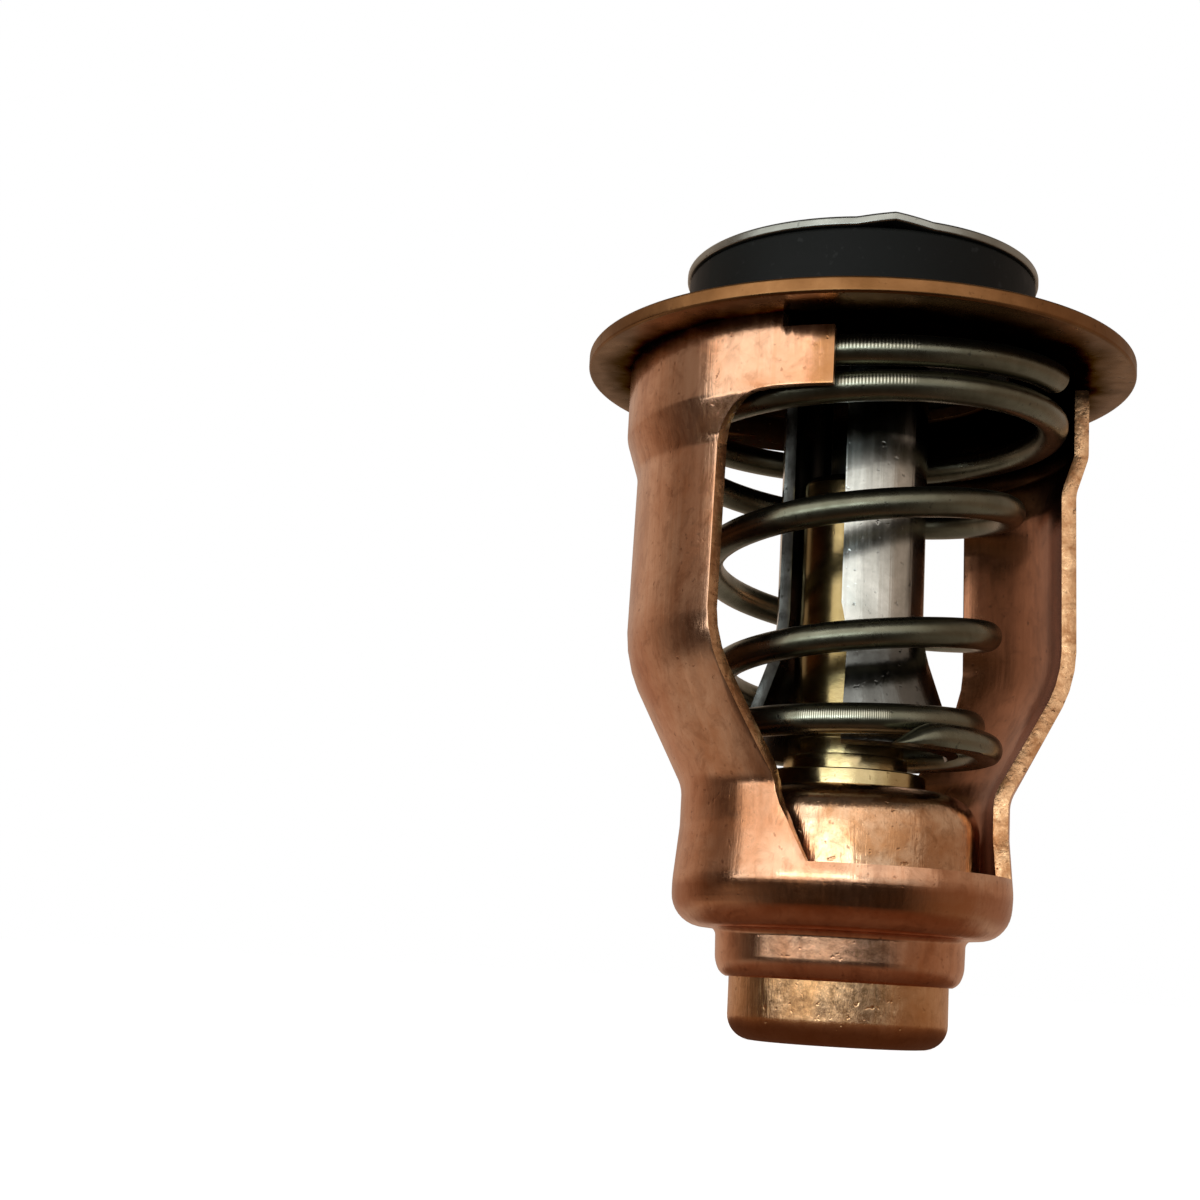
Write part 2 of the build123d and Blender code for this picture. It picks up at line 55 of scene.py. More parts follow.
HEAD_BOTTOM = 37.4
HEAD_CREASE_ROUND = 1.6
ARM_TOP_RADIUS = 13.95
ARM_TOP = 34.9
ARM_TOP_ROUND = 2.0
ARM_LOW_RADIUS = 14.1
ARM_HALF_WIDTH = 6.45
SHOULDER_HEIGHT = 22.9
SHOULDER_ROUND = 7.5
CONE_BOTTOM = 15.2
CONE_ROUND = 2.0
CUP_RADIUS = 10.15
CUP_WAIST = 12.8
WAIST_ROUND = 4.0
CUP_BULGE_RADIUS = 10.45
CUP_BULGE_TOP = 9.4
BULGE_ROUND = 6.0
CUP_RIM = 10.4
CUP_BOTTOM = 6.65
CUP_CORNER_ROUND = 2.0
NECK_TOP_RADIUS = 7.65
NECK_ROUND = 0.45
NECK_RADIUS = 7.6
NECK_TAPER = 4.7
NECK_TAPER_ROUND = 1.6
NECK_CLOSING_RADIUS = 7.3
NECK_CLOSING = 3.95
NECK_CLOSING_ROUND = 0.8
NECK_MOUTH_RADIUS = 6.9
NECK_END = 3.75
RIM_FLARE = 1.7
RIM_FLARE_HEIGHT = 4.0
RIM_FLARE_ROUND = 6.0
TAB_FILLET = 4.0
TAB_CORNER_ANGLE = 36.2
TAB_CORNER_SIDE = 1.667
TAB_NOTCH_ANGLE = 45.7
TAB_END_ANGLE = 57.7
TAB_NOTCH_TOP = 40.95
HEAD_BACK_ANGLE = 15.0
LUG_HALF_ANGLE = 18.0
STAKE_HEIGHT = 0.06
TURN_STEPS = 240
CORNER_STEP = 8.0
CORNER_REACH = 1.6


def outward(azimuth):
    """Level direction away from the axis at an azimuth in degrees."""
    angle = math.radians(azimuth)
    return Vector((math.sin(angle), -math.cos(angle), 0))


def sideways(azimuth):
    """Level direction to the right of someone who looks at the axis from an azimuth."""
    angle = math.radians(azimuth)
    return Vector((math.cos(angle), math.sin(angle), 0))


def draw_line(mesh, corners):
    """Draws a half section beside the axis. A corner is its radius, height and rounding."""
    points = [mesh.verts.new((radius * MM, 0, height * MM)) for radius, height, rounding in corners]
    for start, end in zip(points, points[1:]):
        mesh.edges.new((start, end))
    for index in range(1, len(corners) - 1):
        rounding = corners[index][2]
        if rounding == 0:
            continue
        here = Vector(corners[index][:2])
        before = here - Vector(corners[index - 1][:2])
        after = Vector(corners[index + 1][:2]) - here
        turn = before.angle(after)
        bmesh.ops.bevel(
            mesh, geom=[points[index]], offset=rounding * math.tan(turn / 2) * MM, offset_type="OFFSET",
            segments=max(3, round(turn * 6)), profile=0.5, affect="VERTICES", material=-1)


def turn_round(mesh, steps=TURN_STEPS):
    """Turns a half section round the axis and makes its faces point outwards."""
    bmesh.ops.spin(
        mesh, geom=mesh.verts[:] + mesh.edges[:], cent=(0, 0, 0), axis=(0, 0, 1),
        angle=2 * math.pi, steps=steps, use_merge=True, use_duplicate=False)
    bmesh.ops.remove_doubles(mesh, verts=mesh.verts[:], dist=1e-7)
    bmesh.ops.recalc_face_normals(mesh, faces=mesh.faces[:])


def split_faces(mesh, faces, point, normal):
    """Cuts these faces along a plane and keeps both sides."""
    edges = {edge for face in faces for edge in face.edges}
    verts = {vert for face in faces for vert in face.verts}
    bmesh.ops.bisect_plane(
        mesh, geom=list(faces) + list(edges) + list(verts), dist=1e-8, plane_co=point, plane_no=normal)


def thicken(mesh, sheet):
    """Gives an open skin its sheet. The sheared edge becomes material 1 and the inner side material 2."""
    skin = set(mesh.verts)
    bmesh.ops.solidify(mesh, geom=mesh.faces[:], thickness=sheet * MM)
    for face in mesh.faces:
        outer = [vert in skin for vert in face.verts]
        if not any(outer):
            face.material_index = 2
        elif not all(outer):
            face.material_index = 1


def ease_edges(mesh, width, steepest=50):
    """Takes the sharpness off every edge that turns by more than an angle."""
    sharp = [edge for edge in mesh.edges
             if len(edge.link_faces) == 2 and edge.calc_face_angle(0) > math.radians(steepest)]
    bmesh.ops.bevel(
        mesh, geom=sharp, offset=width * MM, offset_type="OFFSET", segments=2, profile=0.5,
        affect="EDGES", material=-1, clamp_overlap=True)


def make_piece(name, mesh, node, body, materials, smooth_angle=32):
    """Puts a finished mesh in the scene in place of its CAD node."""
    data = bpy.data.meshes.new(name)
    mesh.to_mesh(data)
    mesh.free()
    for face in data.polygons:
        face.use_smooth = True
    data.set_sharp_from_angle(angle=math.radians(smooth_angle))
    piece = bpy.data.objects.new(name, data)
    bpy.context.scene.collection.objects.link(piece)
    for material in materials:
        data.materials.append(material)
    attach(piece, body)
    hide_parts(node)
    return piece


def add_node(tree, kind, sockets=None, **settings):
    """Adds a shader node; a socket's value is a number, a colour or another node's output."""
    made = tree.nodes.new(kind)
    for name, value in settings.items():
        setattr(made, name, value)
    for name, value in (sockets or {}).items():
        if isinstance(value, bpy.types.NodeSocket):
            tree.links.new(value, made.inputs[name])
        else:
            made.inputs[name].default_value = value
    return made


def new_group(name, inputs, outputs):
    """Starts a shader node group with named sockets."""
    tree = bpy.data.node_groups.new(name, "ShaderNodeTree")
    for label, kind, value in inputs:
        socket = tree.interface.new_socket(name=label, in_out="INPUT", socket_type=kind)
        if value is not None:
            socket.default_value = value
    for label, kind in outputs:
        tree.interface.new_socket(name=label, in_out="OUTPUT", socket_type=kind)
    return tree, tree.nodes.new("NodeGroupInput"), tree.nodes.new("NodeGroupOutput")


def spread(tree, value, low, high, start=0.0, end=1.0):
    """Maps a value from low..high to start..end and clips it there."""
    mapped = add_node(tree, "ShaderNodeMapRange", {
        "Value": value, "From Min": low, "From Max": high, "To Min": start, "To Max": end}, clamp=True)
    return mapped.outputs["Result"]


def blend_colours(tree, share, first, second):
    """Mixes two colours by a mask."""
    mixed = add_node(tree, "ShaderNodeMix", {"Factor": share}, data_type="RGBA")
    for index, colour in ((6, first), (7, second)):
        if isinstance(colour, bpy.types.NodeSocket):
            tree.links.new(colour, mixed.inputs[index])
        else:
            mixed.inputs[index].default_value = (*colour, 1)
    return mixed.outputs[2]


def combine(tree, first, second, operation):
    """Adds, multiplies or compares two values."""
    made = add_node(tree, "ShaderNodeMath", operation=operation)
    for index, value in enumerate((first, second)):
        if isinstance(value, bpy.types.NodeSocket):
            tree.links.new(value, made.inputs[index])
        else:
            made.inputs[index].default_value = value
    return made.outputs[0]


# Draw marks: streaks that the press or the brush leaves in bare metal. They are fine round the axis
# and long along it.
brush_tree, brush_in, brush_out = new_group(
    "draw_marks",
    [("Place", "NodeSocketVector", None), ("Fineness", "NodeSocketFloat", 2200.0),
     ("Length", "NodeSocketFloat", 60.0)],
    [("Streak", "NodeSocketFloat")])
stretch = add_node(brush_tree, "ShaderNodeCombineXYZ", {
    "X": brush_in.outputs["Fineness"], "Y": brush_in.outputs["Fineness"], "Z": brush_in.outputs["Length"]})
streak_place = add_node(brush_tree, "ShaderNodeVectorMath", operation="MULTIPLY")
brush_tree.links.new(brush_in.outputs["Place"], streak_place.inputs[0])
brush_tree.links.new(stretch.outputs[0], streak_place.inputs[1])
streaks = add_node(brush_tree, "ShaderNodeTexNoise", {
    "Vector": streak_place.outputs[0], "Scale": 1.0, "Detail": 3.0, "Roughness": 0.6})
brush_tree.links.new(spread(brush_tree, streaks.outputs[0], 0.3, 0.7), brush_out.inputs["Streak"])

# Tarnish: cloudy patches where handling and heat have browned the metal, with smaller blotches
# and dark specks.
tarnish_tree, tarnish_in, tarnish_out = new_group(
    "tarnish",
    [("Place", "NodeSocketVector", None), ("Patch", "NodeSocketFloat", 160.0),
     ("Speck", "NodeSocketFloat", 1400.0)],
    [("Cloud", "NodeSocketFloat"), ("Blotch", "NodeSocketFloat"), ("Specks", "NodeSocketFloat")])
clouds = add_node(tarnish_tree, "ShaderNodeTexNoise", {
    "Vector": tarnish_in.outputs["Place"], "Scale": tarnish_in.outputs["Patch"], "Detail": 5.0,
    "Roughness": 0.62, "Distortion": 0.4})
tarnish_tree.links.new(spread(tarnish_tree, clouds.outputs[0], 0.38, 0.66), tarnish_out.inputs["Cloud"])
blotch_scale = combine(tarnish_tree, tarnish_in.outputs["Patch"], 4.5, "MULTIPLY")
blotches = add_node(tarnish_tree, "ShaderNodeTexNoise", {
    "Vector": tarnish_in.outputs["Place"], "Scale": blotch_scale, "Detail": 6.0, "Roughness": 0.68,
    "Distortion": 0.8})
tarnish_tree.links.new(spread(tarnish_tree, blotches.outputs[0], 0.50, 0.68), tarnish_out.inputs["Blotch"])
grains = add_node(tarnish_tree, "ShaderNodeTexNoise", {
    "Vector": tarnish_in.outputs["Place"], "Scale": tarnish_in.outputs["Speck"], "Detail": 2.0,
    "Roughness": 0.5})
tarnish_tree.links.new(spread(tarnish_tree, grains.outputs[0], 0.66, 0.76), tarnish_out.inputs["Specks"])


def metal(name, clean, browned, dark, fineness, length, patch, speck, smooth, rough, bump,
          dent=0.0, stain_and_shade=0.0, mottle=0.0):
    """Bare worked metal: browned clouds, draw marks in its gloss, broad stains, a grain and soft dents."""
    material = bpy.data.materials.new(name)
    material.use_nodes = True
    tree = material.node_tree
    shader = tree.nodes["Principled BSDF"]
    shader.inputs["Metallic"].default_value = 1.0
    place = add_node(tree, "ShaderNodeTexCoord").outputs["Object"]
    marks = add_node(tree, "ShaderNodeGroup", node_tree=brush_tree)
    marks.inputs["Fineness"].default_value = fineness
    marks.inputs["Length"].default_value = length
    wear = add_node(tree, "ShaderNodeGroup", node_tree=tarnish_tree)
    wear.inputs["Patch"].default_value = patch
    wear.inputs["Speck"].default_value = speck
    tree.links.new(place, marks.inputs["Place"])
    tree.links.new(place, wear.inputs["Place"])
    streak = marks.outputs["Streak"]
    cloud = wear.outputs["Cloud"]
    tone = blend_colours(tree, cloud, clean, browned)
    tone = blend_colours(tree, spread(tree, streak, 0.0, 0.45, 0.35, 0.0), tone, browned)
    runs = add_node(tree, "ShaderNodeGroup", node_tree=brush_tree)
    runs.inputs["Fineness"].default_value = fineness * 0.22
    runs.inputs["Length"].default_value = length * 1.4
    tree.links.new(place, runs.inputs["Place"])
    tone = blend_colours(tree, spread(tree, runs.outputs["Streak"], 0.42, 0.05, 0.0, stain_and_shade), tone, dark)
    tone = blend_colours(tree, combine(tree, wear.outputs["Blotch"], mottle, "MULTIPLY"), tone, dark)
    tone = blend_colours(tree, combine(tree, wear.outputs["Specks"], 0.55, "MULTIPLY"), tone, dark)
    tree.links.new(tone, shader.inputs["Base Color"])
    half_streak = combine(tree, streak, 0.5, "MULTIPLY")
    half_cloud = combine(tree, cloud, 0.5, "MULTIPLY")
    gloss = combine(tree, half_streak, half_cloud, "ADD")
    tree.links.new(spread(tree, gloss, 0.0, 1.0, smooth, rough), shader.inputs["Roughness"])
    relief = combine(tree, combine(tree, streak, 0.7, "MULTIPLY"), wear.outputs["Specks"], "SUBTRACT")
    dents = add_node(tree, "ShaderNodeTexNoise", {
        "Vector": place, "Scale": 210.0, "Detail": 5.0, "Roughness": 0.52})
    waves = add_node(tree, "ShaderNodeBump", {
        "Height": dents.outputs[0], "Strength": dent, "Distance": 0.0004})
    grain = add_node(tree, "ShaderNodeBump", {
        "Height": relief, "Strength": bump, "Distance": 0.00003, "Normal": waves.outputs[0]})
    tree.links.new(grain.outputs[0], shader.inputs["Normal"])
    return material


def shade_and_tint_band(material, colour, none, full, share, ragged, floor=-1.0):
    """Blends a colour band over a material by height: none at one height, its full share at another, none
    below a floor. Most bands are painted shade; one is a tint.
    """
    tree = material.node_tree
    shader = tree.nodes["Principled BSDF"]
    bare = shader.inputs["Base Color"].links[0].from_socket
    place = add_node(tree, "ShaderNodeTexCoord").outputs["Object"]
    height = add_node(tree, "ShaderNodeSeparateXYZ", {"Vector": place}).outputs["Z"]
    edge = add_node(tree, "ShaderNodeTexNoise", {"Vector": place, "Scale": 500.0, "Detail": 4.0})
    wander = spread(tree, edge.outputs[0], 0.3, 0.7, -ragged * MM, ragged * MM)
    ragged_height = combine(tree, height, wander, "ADD")
    mask = spread(tree, ragged_height, none * MM, full * MM, 0.0, share)
    mask = combine(tree, mask, spread(tree, ragged_height, floor * MM, (floor + 0.5) * MM), "MULTIPLY")
    tree.links.new(blend_colours(tree, mask, bare, colour), shader.inputs["Base Color"])


pressed_copper = metal(
    "pressed_copper", (0.93, 0.55, 0.35), (0.70, 0.315, 0.155), (0.30, 0.10, 0.035),
    fineness=2600, length=110, patch=190, speck=2300, smooth=0.13, rough=0.26, bump=0.20, dent=0.15,
    stain_and_shade=0.26, mottle=0.36)
# Painted shade: the heads darken just under the flange plate.
shade_and_tint_band(pressed_copper, (0.20, 0.07, 0.025), none=41.0, full=41.8, share=0.75, ragged=0.45)
# Painted shade: a dark band round the cup from below its bulge down towards its lower corner.
shade_and_tint_band(pressed_copper, (0.42, 0.13, 0.035), none=9.5, full=9.0, share=0.60, ragged=0.15, floor=7.3)

# The tabs are browned at their free ends, where they were sheared.
TAB_END_TONE = (0.46, 0.20, 0.065)
TAB_END_FADE = (5.5, 2.5)
TAB_END_SHARE = 0.75
TAB_END_WANDER = 0.025
copper_tree = pressed_copper.node_tree
copper_shader = copper_tree.nodes["Principled BSDF"]
copper_place = add_node(copper_tree, "ShaderNodeTexCoord").outputs["Object"]
copper_parts = add_node(copper_tree, "ShaderNodeSeparateXYZ", {"Vector": copper_place})
copper_front = combine(copper_tree, copper_parts.outputs["Y"], -1.0, "MULTIPLY")
copper_turn = combine(copper_tree, copper_parts.outputs["X"], copper_front, "ARCTAN2")
chafed = add_node(copper_tree, "ShaderNodeTexNoise", {
    "Vector": copper_place, "Scale": 1500.0, "Detail": 3.0})
chafe = spread(copper_tree, chafed.outputs[0], 0.3, 0.7, -TAB_END_WANDER, TAB_END_WANDER)
copper_turn = combine(copper_tree, copper_turn, chafe, "ADD")
past_end = combine(copper_tree, copper_turn, math.radians(90 - TAB_END_ANGLE), "ADD")
nearness = combine(copper_tree, combine(copper_tree, past_end, 2.0, "MULTIPLY"), 0.0, "COSINE")
fade_start, fade_end = (math.cos(math.radians(2 * angle)) for angle in TAB_END_FADE)
by_end = spread(copper_tree, nearness, fade_start, fade_end, 0.0, TAB_END_SHARE)
on_head = spread(copper_tree, copper_parts.outputs["Z"], (HEAD_BOTTOM - 0.3) * MM, HEAD_BOTTOM * MM)
by_end = combine(copper_tree, by_end, on_head, "MULTIPLY")
bare_copper = copper_shader.inputs["Base Color"].links[0].from_socket
end_tone = blend_colours(copper_tree, by_end, bare_copper, TAB_END_TONE)
copper_tree.links.new(end_tone, copper_shader.inputs["Base Color"])

sheared_copper = metal(
    "sheared_copper", (0.76, 0.45, 0.24), (0.44, 0.20, 0.085), (0.20, 0.07, 0.02),
    fineness=2600, length=2200, patch=900, speck=2400, smooth=0.20, rough=0.42, bump=0.8, dent=0.15,
    stain_and_shade=0.35, mottle=0.35)
# The frame's inner side: a darker copy of the pressed copper, as painted shade.
shaded_inner_copper = metal(
    "shaded_inner_copper", (0.46, 0.205, 0.11), (0.30, 0.125, 0.06), (0.10, 0.04, 0.02),
    fineness=2000, length=60, patch=150, speck=2300, smooth=0.14, rough=0.24, bump=0.15, dent=0.08,
    stain_and_shade=0.4, mottle=0.3)
# Painted shade: the inner side goes near black towards the heads, under the flange plate.
shade_and_tint_band(shaded_inner_copper, (0.020, 0.013, 0.009), none=35.5, full=38.5, share=0.85, ragged=0.6)

frame_mesh = bmesh.new()
draw_line(frame_mesh, [
    (HEAD_RADIUS, FLANGE_TOP + STAKE_HEIGHT, 0), (HEAD_RADIUS, HEAD_BOTTOM, HEAD_CREASE_ROUND),
    (ARM_TOP_RADIUS, ARM_TOP, ARM_TOP_ROUND), (ARM_LOW_RADIUS, SHOULDER_HEIGHT, SHOULDER_ROUND),
    (CUP_RADIUS, CONE_BOTTOM, CONE_ROUND), (CUP_RADIUS, CUP_WAIST, WAIST_ROUND),
    (CUP_BULGE_RADIUS, CUP_BULGE_TOP, BULGE_ROUND), (CUP_BULGE_RADIUS, CUP_BOTTOM, CUP_CORNER_ROUND),
    (NECK_TOP_RADIUS, CUP_BOTTOM, NECK_ROUND), (NECK_RADIUS, NECK_TAPER, NECK_TAPER_ROUND),
    (NECK_CLOSING_RADIUS, NECK_CLOSING, NECK_CLOSING_ROUND), (NECK_MOUTH_RADIUS, NECK_END, 0)])
turn_round(frame_mesh)

# At the front the cup's wall leans in a little, from the bulge down to its lower corner.
LEAN_TOP = 9.95
LEAN_SLOPE = 0.27
LEAN_END = 8.05
LEAN_AZIMUTH = -15.0
LEAN_REACH = (50.0, 85.0)
LEAN_RINGS = (9.95, 9.75, 9.55, 9.35, 9.15, 8.95, 8.65, 8.35, 8.05)
LEAN_INNER_RADIUS = 8.0
LEAN_FADE = 0.6
near, far = LEAN_REACH
steepest = CUP_BOTTOM + CUP_CORNER_ROUND
for height in LEAN_RINGS:
    split_faces(frame_mesh, frame_mesh.faces[:], (0, 0, height * MM), (0, 0, 1))
for vert in frame_mesh.verts:
    height = vert.co.z / MM
    level = Vector((vert.co.x, vert.co.y, 0))
    if not CUP_BOTTOM < height < LEAN_TOP or level.length < LEAN_INNER_RADIUS * MM:
        continue
    swing = math.degrees(level.angle(outward(LEAN_AZIMUTH)))
    share = max(0, min(1, (far - swing) / (far - near)))
    growing = LEAN_TOP - max(height, steepest)
    depth = LEAN_SLOPE * growing ** 2 / (LEAN_TOP - steepest) / 2
    easing = steepest - min(steepest, max(height, LEAN_END))
    depth += LEAN_SLOPE * (easing - easing ** 2 / (steepest - LEAN_END) / 2)
    fade = min(1, (height - CUP_BOTTOM) / LEAN_FADE)
    vert.co -= level.normalized() * share * depth * fade * MM

for height in (CUP_RIM, HEAD_BOTTOM, TAB_NOTCH_TOP, FLANGE_UNDERSIDE):
    split_faces(frame_mesh, frame_mesh.faces[:], (0, 0, height * MM), (0, 0, 1))
for side in (-1, 1):
    split_faces(frame_mesh, frame_mesh.faces[:], (0, side * ARM_HALF_WIDTH * MM, 0), (0, 1, 0))
for angle in (-HEAD_BACK_ANGLE, TAB_NOTCH_ANGLE, TAB_END_ANGLE, -LUG_HALF_ANGLE, LUG_HALF_ANGLE):
    head_faces = [face for face in frame_mesh.faces if face.calc_center_median().z > HEAD_BOTTOM * MM]
    split_faces(frame_mesh, head_faces, (0, 0, 0), sideways(-90 + angle))


def place_on_arm(point):
    """Where a point lies on its arm's side: distance to the front of the arm's middle, angle, height."""
    front = -point.y if point.x < 0 else point.y
    return front / MM, math.degrees(math.atan2(front, abs(point.x))), point.z / MM


def round_corner(mesh, azimuth, middle, size, start, sweep):
    """Splits the skin along a rounded inner corner and returns a test for what the rounding takes away."""
    centre = sideways(azimuth) * middle[0] * MM + Vector((0, 0, middle[1] * MM))
    planes = []
    steps = math.ceil(sweep / CORNER_STEP)
    for step in range(steps + 1):
        angle = math.radians(start + sweep * step / steps)
        planes.append(sideways(azimuth) * math.cos(angle) + Vector((0, 0, math.sin(angle))))
    facing = outward(azimuth)
    reach = CORNER_REACH * size * MM
    for normal in planes:
        close_by = []
        for face in mesh.faces:
            spot = face.calc_center_median()
            away = spot - centre
            if spot.dot(facing) > 0 and away.length_squared - away.dot(facing) ** 2 < reach ** 2:
                close_by.append(face)
        split_faces(mesh, close_by, centre + normal * size * MM, normal)

    def taken(point):
        return all((point - centre).dot(normal) < size * MM for normal in planes)
    return taken


rim_lean = math.degrees(math.atan2(RIM_FLARE, RIM_FLARE_HEIGHT))
rim_tangent = RIM_FLARE_ROUND * math.tan(math.radians(rim_lean / 2))
rim_corner = (ARM_HALF_WIDTH + RIM_FLARE_ROUND, CUP_RIM + RIM_FLARE_HEIGHT + rim_tangent)
tab_corner = (TAB_CORNER_SIDE, HEAD_BOTTOM - TAB_FILLET)
off_rim = {}
off_tab = {}
for side, arm_azimuth in ((-1, -90), (1, 90)):
    off_rim[side] = round_corner(frame_mesh, arm_azimuth, rim_corner, RIM_FLARE_ROUND, 180, rim_lean)
    off_tab[side] = round_corner(frame_mesh, arm_azimuth + TAB_CORNER_ANGLE, tab_corner, TAB_FILLET, 90, 90)


def belongs_to_frame(point):
    """True where the press leaves metal standing."""
    side = -1 if point.x < 0 else 1
    front, angle, height = place_on_arm(point)
    if height < CUP_RIM:
        return True
    if height > FLANGE_UNDERSIDE:
        return abs(angle) < LUG_HALF_ANGLE
    if abs(front) < ARM_HALF_WIDTH:
        return True
    if height > HEAD_BOTTOM:
        if -HEAD_BACK_ANGLE < angle < TAB_NOTCH_ANGLE:
            return True
        return TAB_NOTCH_ANGLE <= angle < TAB_END_ANGLE and height < TAB_NOTCH_TOP
    if ARM_HALF_WIDTH < front < ARM_HALF_WIDTH + RIM_FLARE and height < rim_corner[1]:
        return not off_rim[side](point)
    along = point.dot(sideways(side * 90 + TAB_CORNER_ANGLE)) / MM
    if front > 0 and along < tab_corner[0] and height > tab_corner[1]:
        return not off_tab[side](point)
    return False


scrap = [face for face in frame_mesh.faces if not belongs_to_frame(face.calc_center_median())]
bmesh.ops.delete(frame_mesh, geom=scrap, context="FACES")
thicken(frame_mesh, FRAME_SHEET)
ease_edges(frame_mesh, FRAME_EDGE_ROUND)
make_piece(
    "copper_frame", frame_mesh, "frame", "frame", [pressed_copper, sheared_copper, shaded_inner_copper])

# Wax capsule: a stepped copper shell, drawn from sheet and rolled over the guide's flange at the top.
# Its lower end pokes out of the frame's neck.
CAPSULE_END_RADIUS = 6.7
CAPSULE_END_ROUND = 1.5
CAPSULE_STEP = 7.9
CAPSULE_STEP_ROUND = 1.2
CAPSULE_LEDGE_ROUND = 0.4
CAPSULE_DOME_RADIUS = 8.35
CAPSULE_TOP = 15.4
CAPSULE_ROLL = 2.4
CAPSULE_MOUTH = 4.2
CAPSULE_WALL = 0.8
capsule_copper = metal(
    "capsule_copper", (0.96, 0.64, 0.41), (0.70, 0.34, 0.155), (0.32, 0.13, 0.045),
    fineness=3000, length=480, patch=330, speck=2300, smooth=0.14, rough=0.26, bump=0.5, dent=0.19,
    stain_and_shade=0.26, mottle=0.48)
shade_and_tint_band(capsule_copper, (0.90, 0.52, 0.22), none=6.0, full=4.0, share=0.40, ragged=0.5)
# Painted shade: the capsule's lowest edge darkens towards the floor.
shade_and_tint_band(capsule_copper, (0.36, 0.15, 0.065), none=1.35, full=0.75, share=0.55, ragged=0.25)
capsule_mesh = bmesh.new()
inner_end = CAPSULE_END_RADIUS - CAPSULE_WALL
inner_dome = CAPSULE_DOME_RADIUS - CAPSULE_WALL
ceiling = CAPSULE_TOP - CAPSULE_WALL
ledge = CAPSULE_STEP + CAPSULE_WALL
draw_line(capsule_mesh, [
    (0, 0, 0), (CAPSULE_END_RADIUS, 0, CAPSULE_END_ROUND),
    (CAPSULE_END_RADIUS, CAPSULE_STEP, CAPSULE_STEP_ROUND),
    (CAPSULE_DOME_RADIUS, CAPSULE_STEP, CAPSULE_LEDGE_ROUND),
    (CAPSULE_DOME_RADIUS, CAPSULE_TOP, CAPSULE_ROLL), (CAPSULE_MOUTH, CAPSULE_TOP, 0),
    (CAPSULE_MOUTH, ceiling, 0), (inner_dome, ceiling, CAPSULE_ROLL - CAPSULE_WALL),
    (inner_dome, ledge, 0), (inner_end, ledge, 0),
    (inner_end, CAPSULE_WALL, CAPSULE_END_ROUND - CAPSULE_WALL), (0, CAPSULE_WALL, 0)])
turn_round(capsule_mesh)
make_piece("wax_capsule", capsule_mesh, "capsule_shell", "frame", [capsule_copper])

# Guide: turned from brass bar. Its flange is held in the capsule, a collar stands on top, and the
# bored stem carries the piston.
GUIDE_BORE = 2.05
GUIDE_FLANGE_RADIUS = 7.53
GUIDE_FLANGE_BOTTOM = 10.0
GUIDE_FLANGE_TOP = 14.58
GUIDE_SHOULDER_ROUND = 1.65
GUIDE_NECK_RADIUS = 4.15
COLLAR_RADIUS = 5.0
COLLAR_TOP = 16.45
GUIDE_BASE_RADIUS = 3.85
GUIDE_BASE_TOP = 17.45
GUIDE_STEP_RADIUS = 3.6
GUIDE_STEP_TOP = 18.5
GUIDE_RADIUS = 3.4
GUIDE_TOP = 35.2
GUIDE_TIP_ROUND = 0.6
GUIDE_BORE_ROUND = 0.2
EDGE_BREAK = 0.1
turned_brass = metal(
    "turned_brass", (0.80, 0.63, 0.34), (0.62, 0.47, 0.21), (0.22, 0.14, 0.04),
    fineness=900, length=1800, patch=300, speck=2300, smooth=0.14, rough=0.26, bump=0.15, dent=0.03)
# Painted shade: the stem darkens above its steps, inside the yoke and the spring.
shade_and_tint_band(turned_brass, (0.26, 0.175, 0.055), none=18.3, full=18.8, share=0.60, ragged=0.3)
guide_mesh = bmesh.new()
draw_line(guide_mesh, [
    (GUIDE_BORE, GUIDE_FLANGE_BOTTOM, 0), (GUIDE_FLANGE_RADIUS, GUIDE_FLANGE_BOTTOM, 0),
    (GUIDE_FLANGE_RADIUS, GUIDE_FLANGE_TOP, GUIDE_SHOULDER_ROUND), (GUIDE_NECK_RADIUS, GUIDE_FLANGE_TOP, 0),
    (GUIDE_NECK_RADIUS, CAPSULE_TOP, 0), (COLLAR_RADIUS, CAPSULE_TOP, 0),
    (COLLAR_RADIUS, COLLAR_TOP, EDGE_BREAK), (GUIDE_BASE_RADIUS, COLLAR_TOP, 0),
    (GUIDE_BASE_RADIUS, GUIDE_BASE_TOP, EDGE_BREAK), (GUIDE_STEP_RADIUS, GUIDE_BASE_TOP, 0),
    (GUIDE_STEP_RADIUS, GUIDE_STEP_TOP, EDGE_BREAK), (GUIDE_RADIUS, GUIDE_STEP_TOP, 0),
    (GUIDE_RADIUS, GUIDE_TOP, GUIDE_TIP_ROUND), (GUIDE_BORE, GUIDE_TOP, GUIDE_BORE_ROUND),
    (GUIDE_BORE, GUIDE_FLANGE_BOTTOM, 0)])
turn_round(guide_mesh, steps=160)
make_piece("piston_guide", guide_mesh, "guide", "frame", [turned_brass])

# Piston: ground steel rod. The wax pushes it up out of the guide, and its tip bears on the rivet's tail
# inside the yoke's closed end.
PISTON_RADIUS = 2.0
PISTON_BOTTOM = 13.6
PISTON_TOP = 46.86
PISTON_TIP_ROUND = 0.4
ground_steel = metal(
    "ground_steel", (0.62, 0.62, 0.61), (0.46, 0.45, 0.42), (0.12, 0.11, 0.10),
    fineness=700, length=2600, patch=300, speck=1800, smooth=0.08, rough=0.20, bump=0.08)
piston_mesh = bmesh.new()
draw_line(piston_mesh, [
    (0, PISTON_BOTTOM, 0), (PISTON_RADIUS, PISTON_BOTTOM, 0), (PISTON_RADIUS, PISTON_TOP, PISTON_TIP_ROUND),
    (0, PISTON_TOP, 0)])
turn_round(piston_mesh, steps=96)
make_piece("piston_rod", piston_mesh, "piston", "valve", [ground_steel])

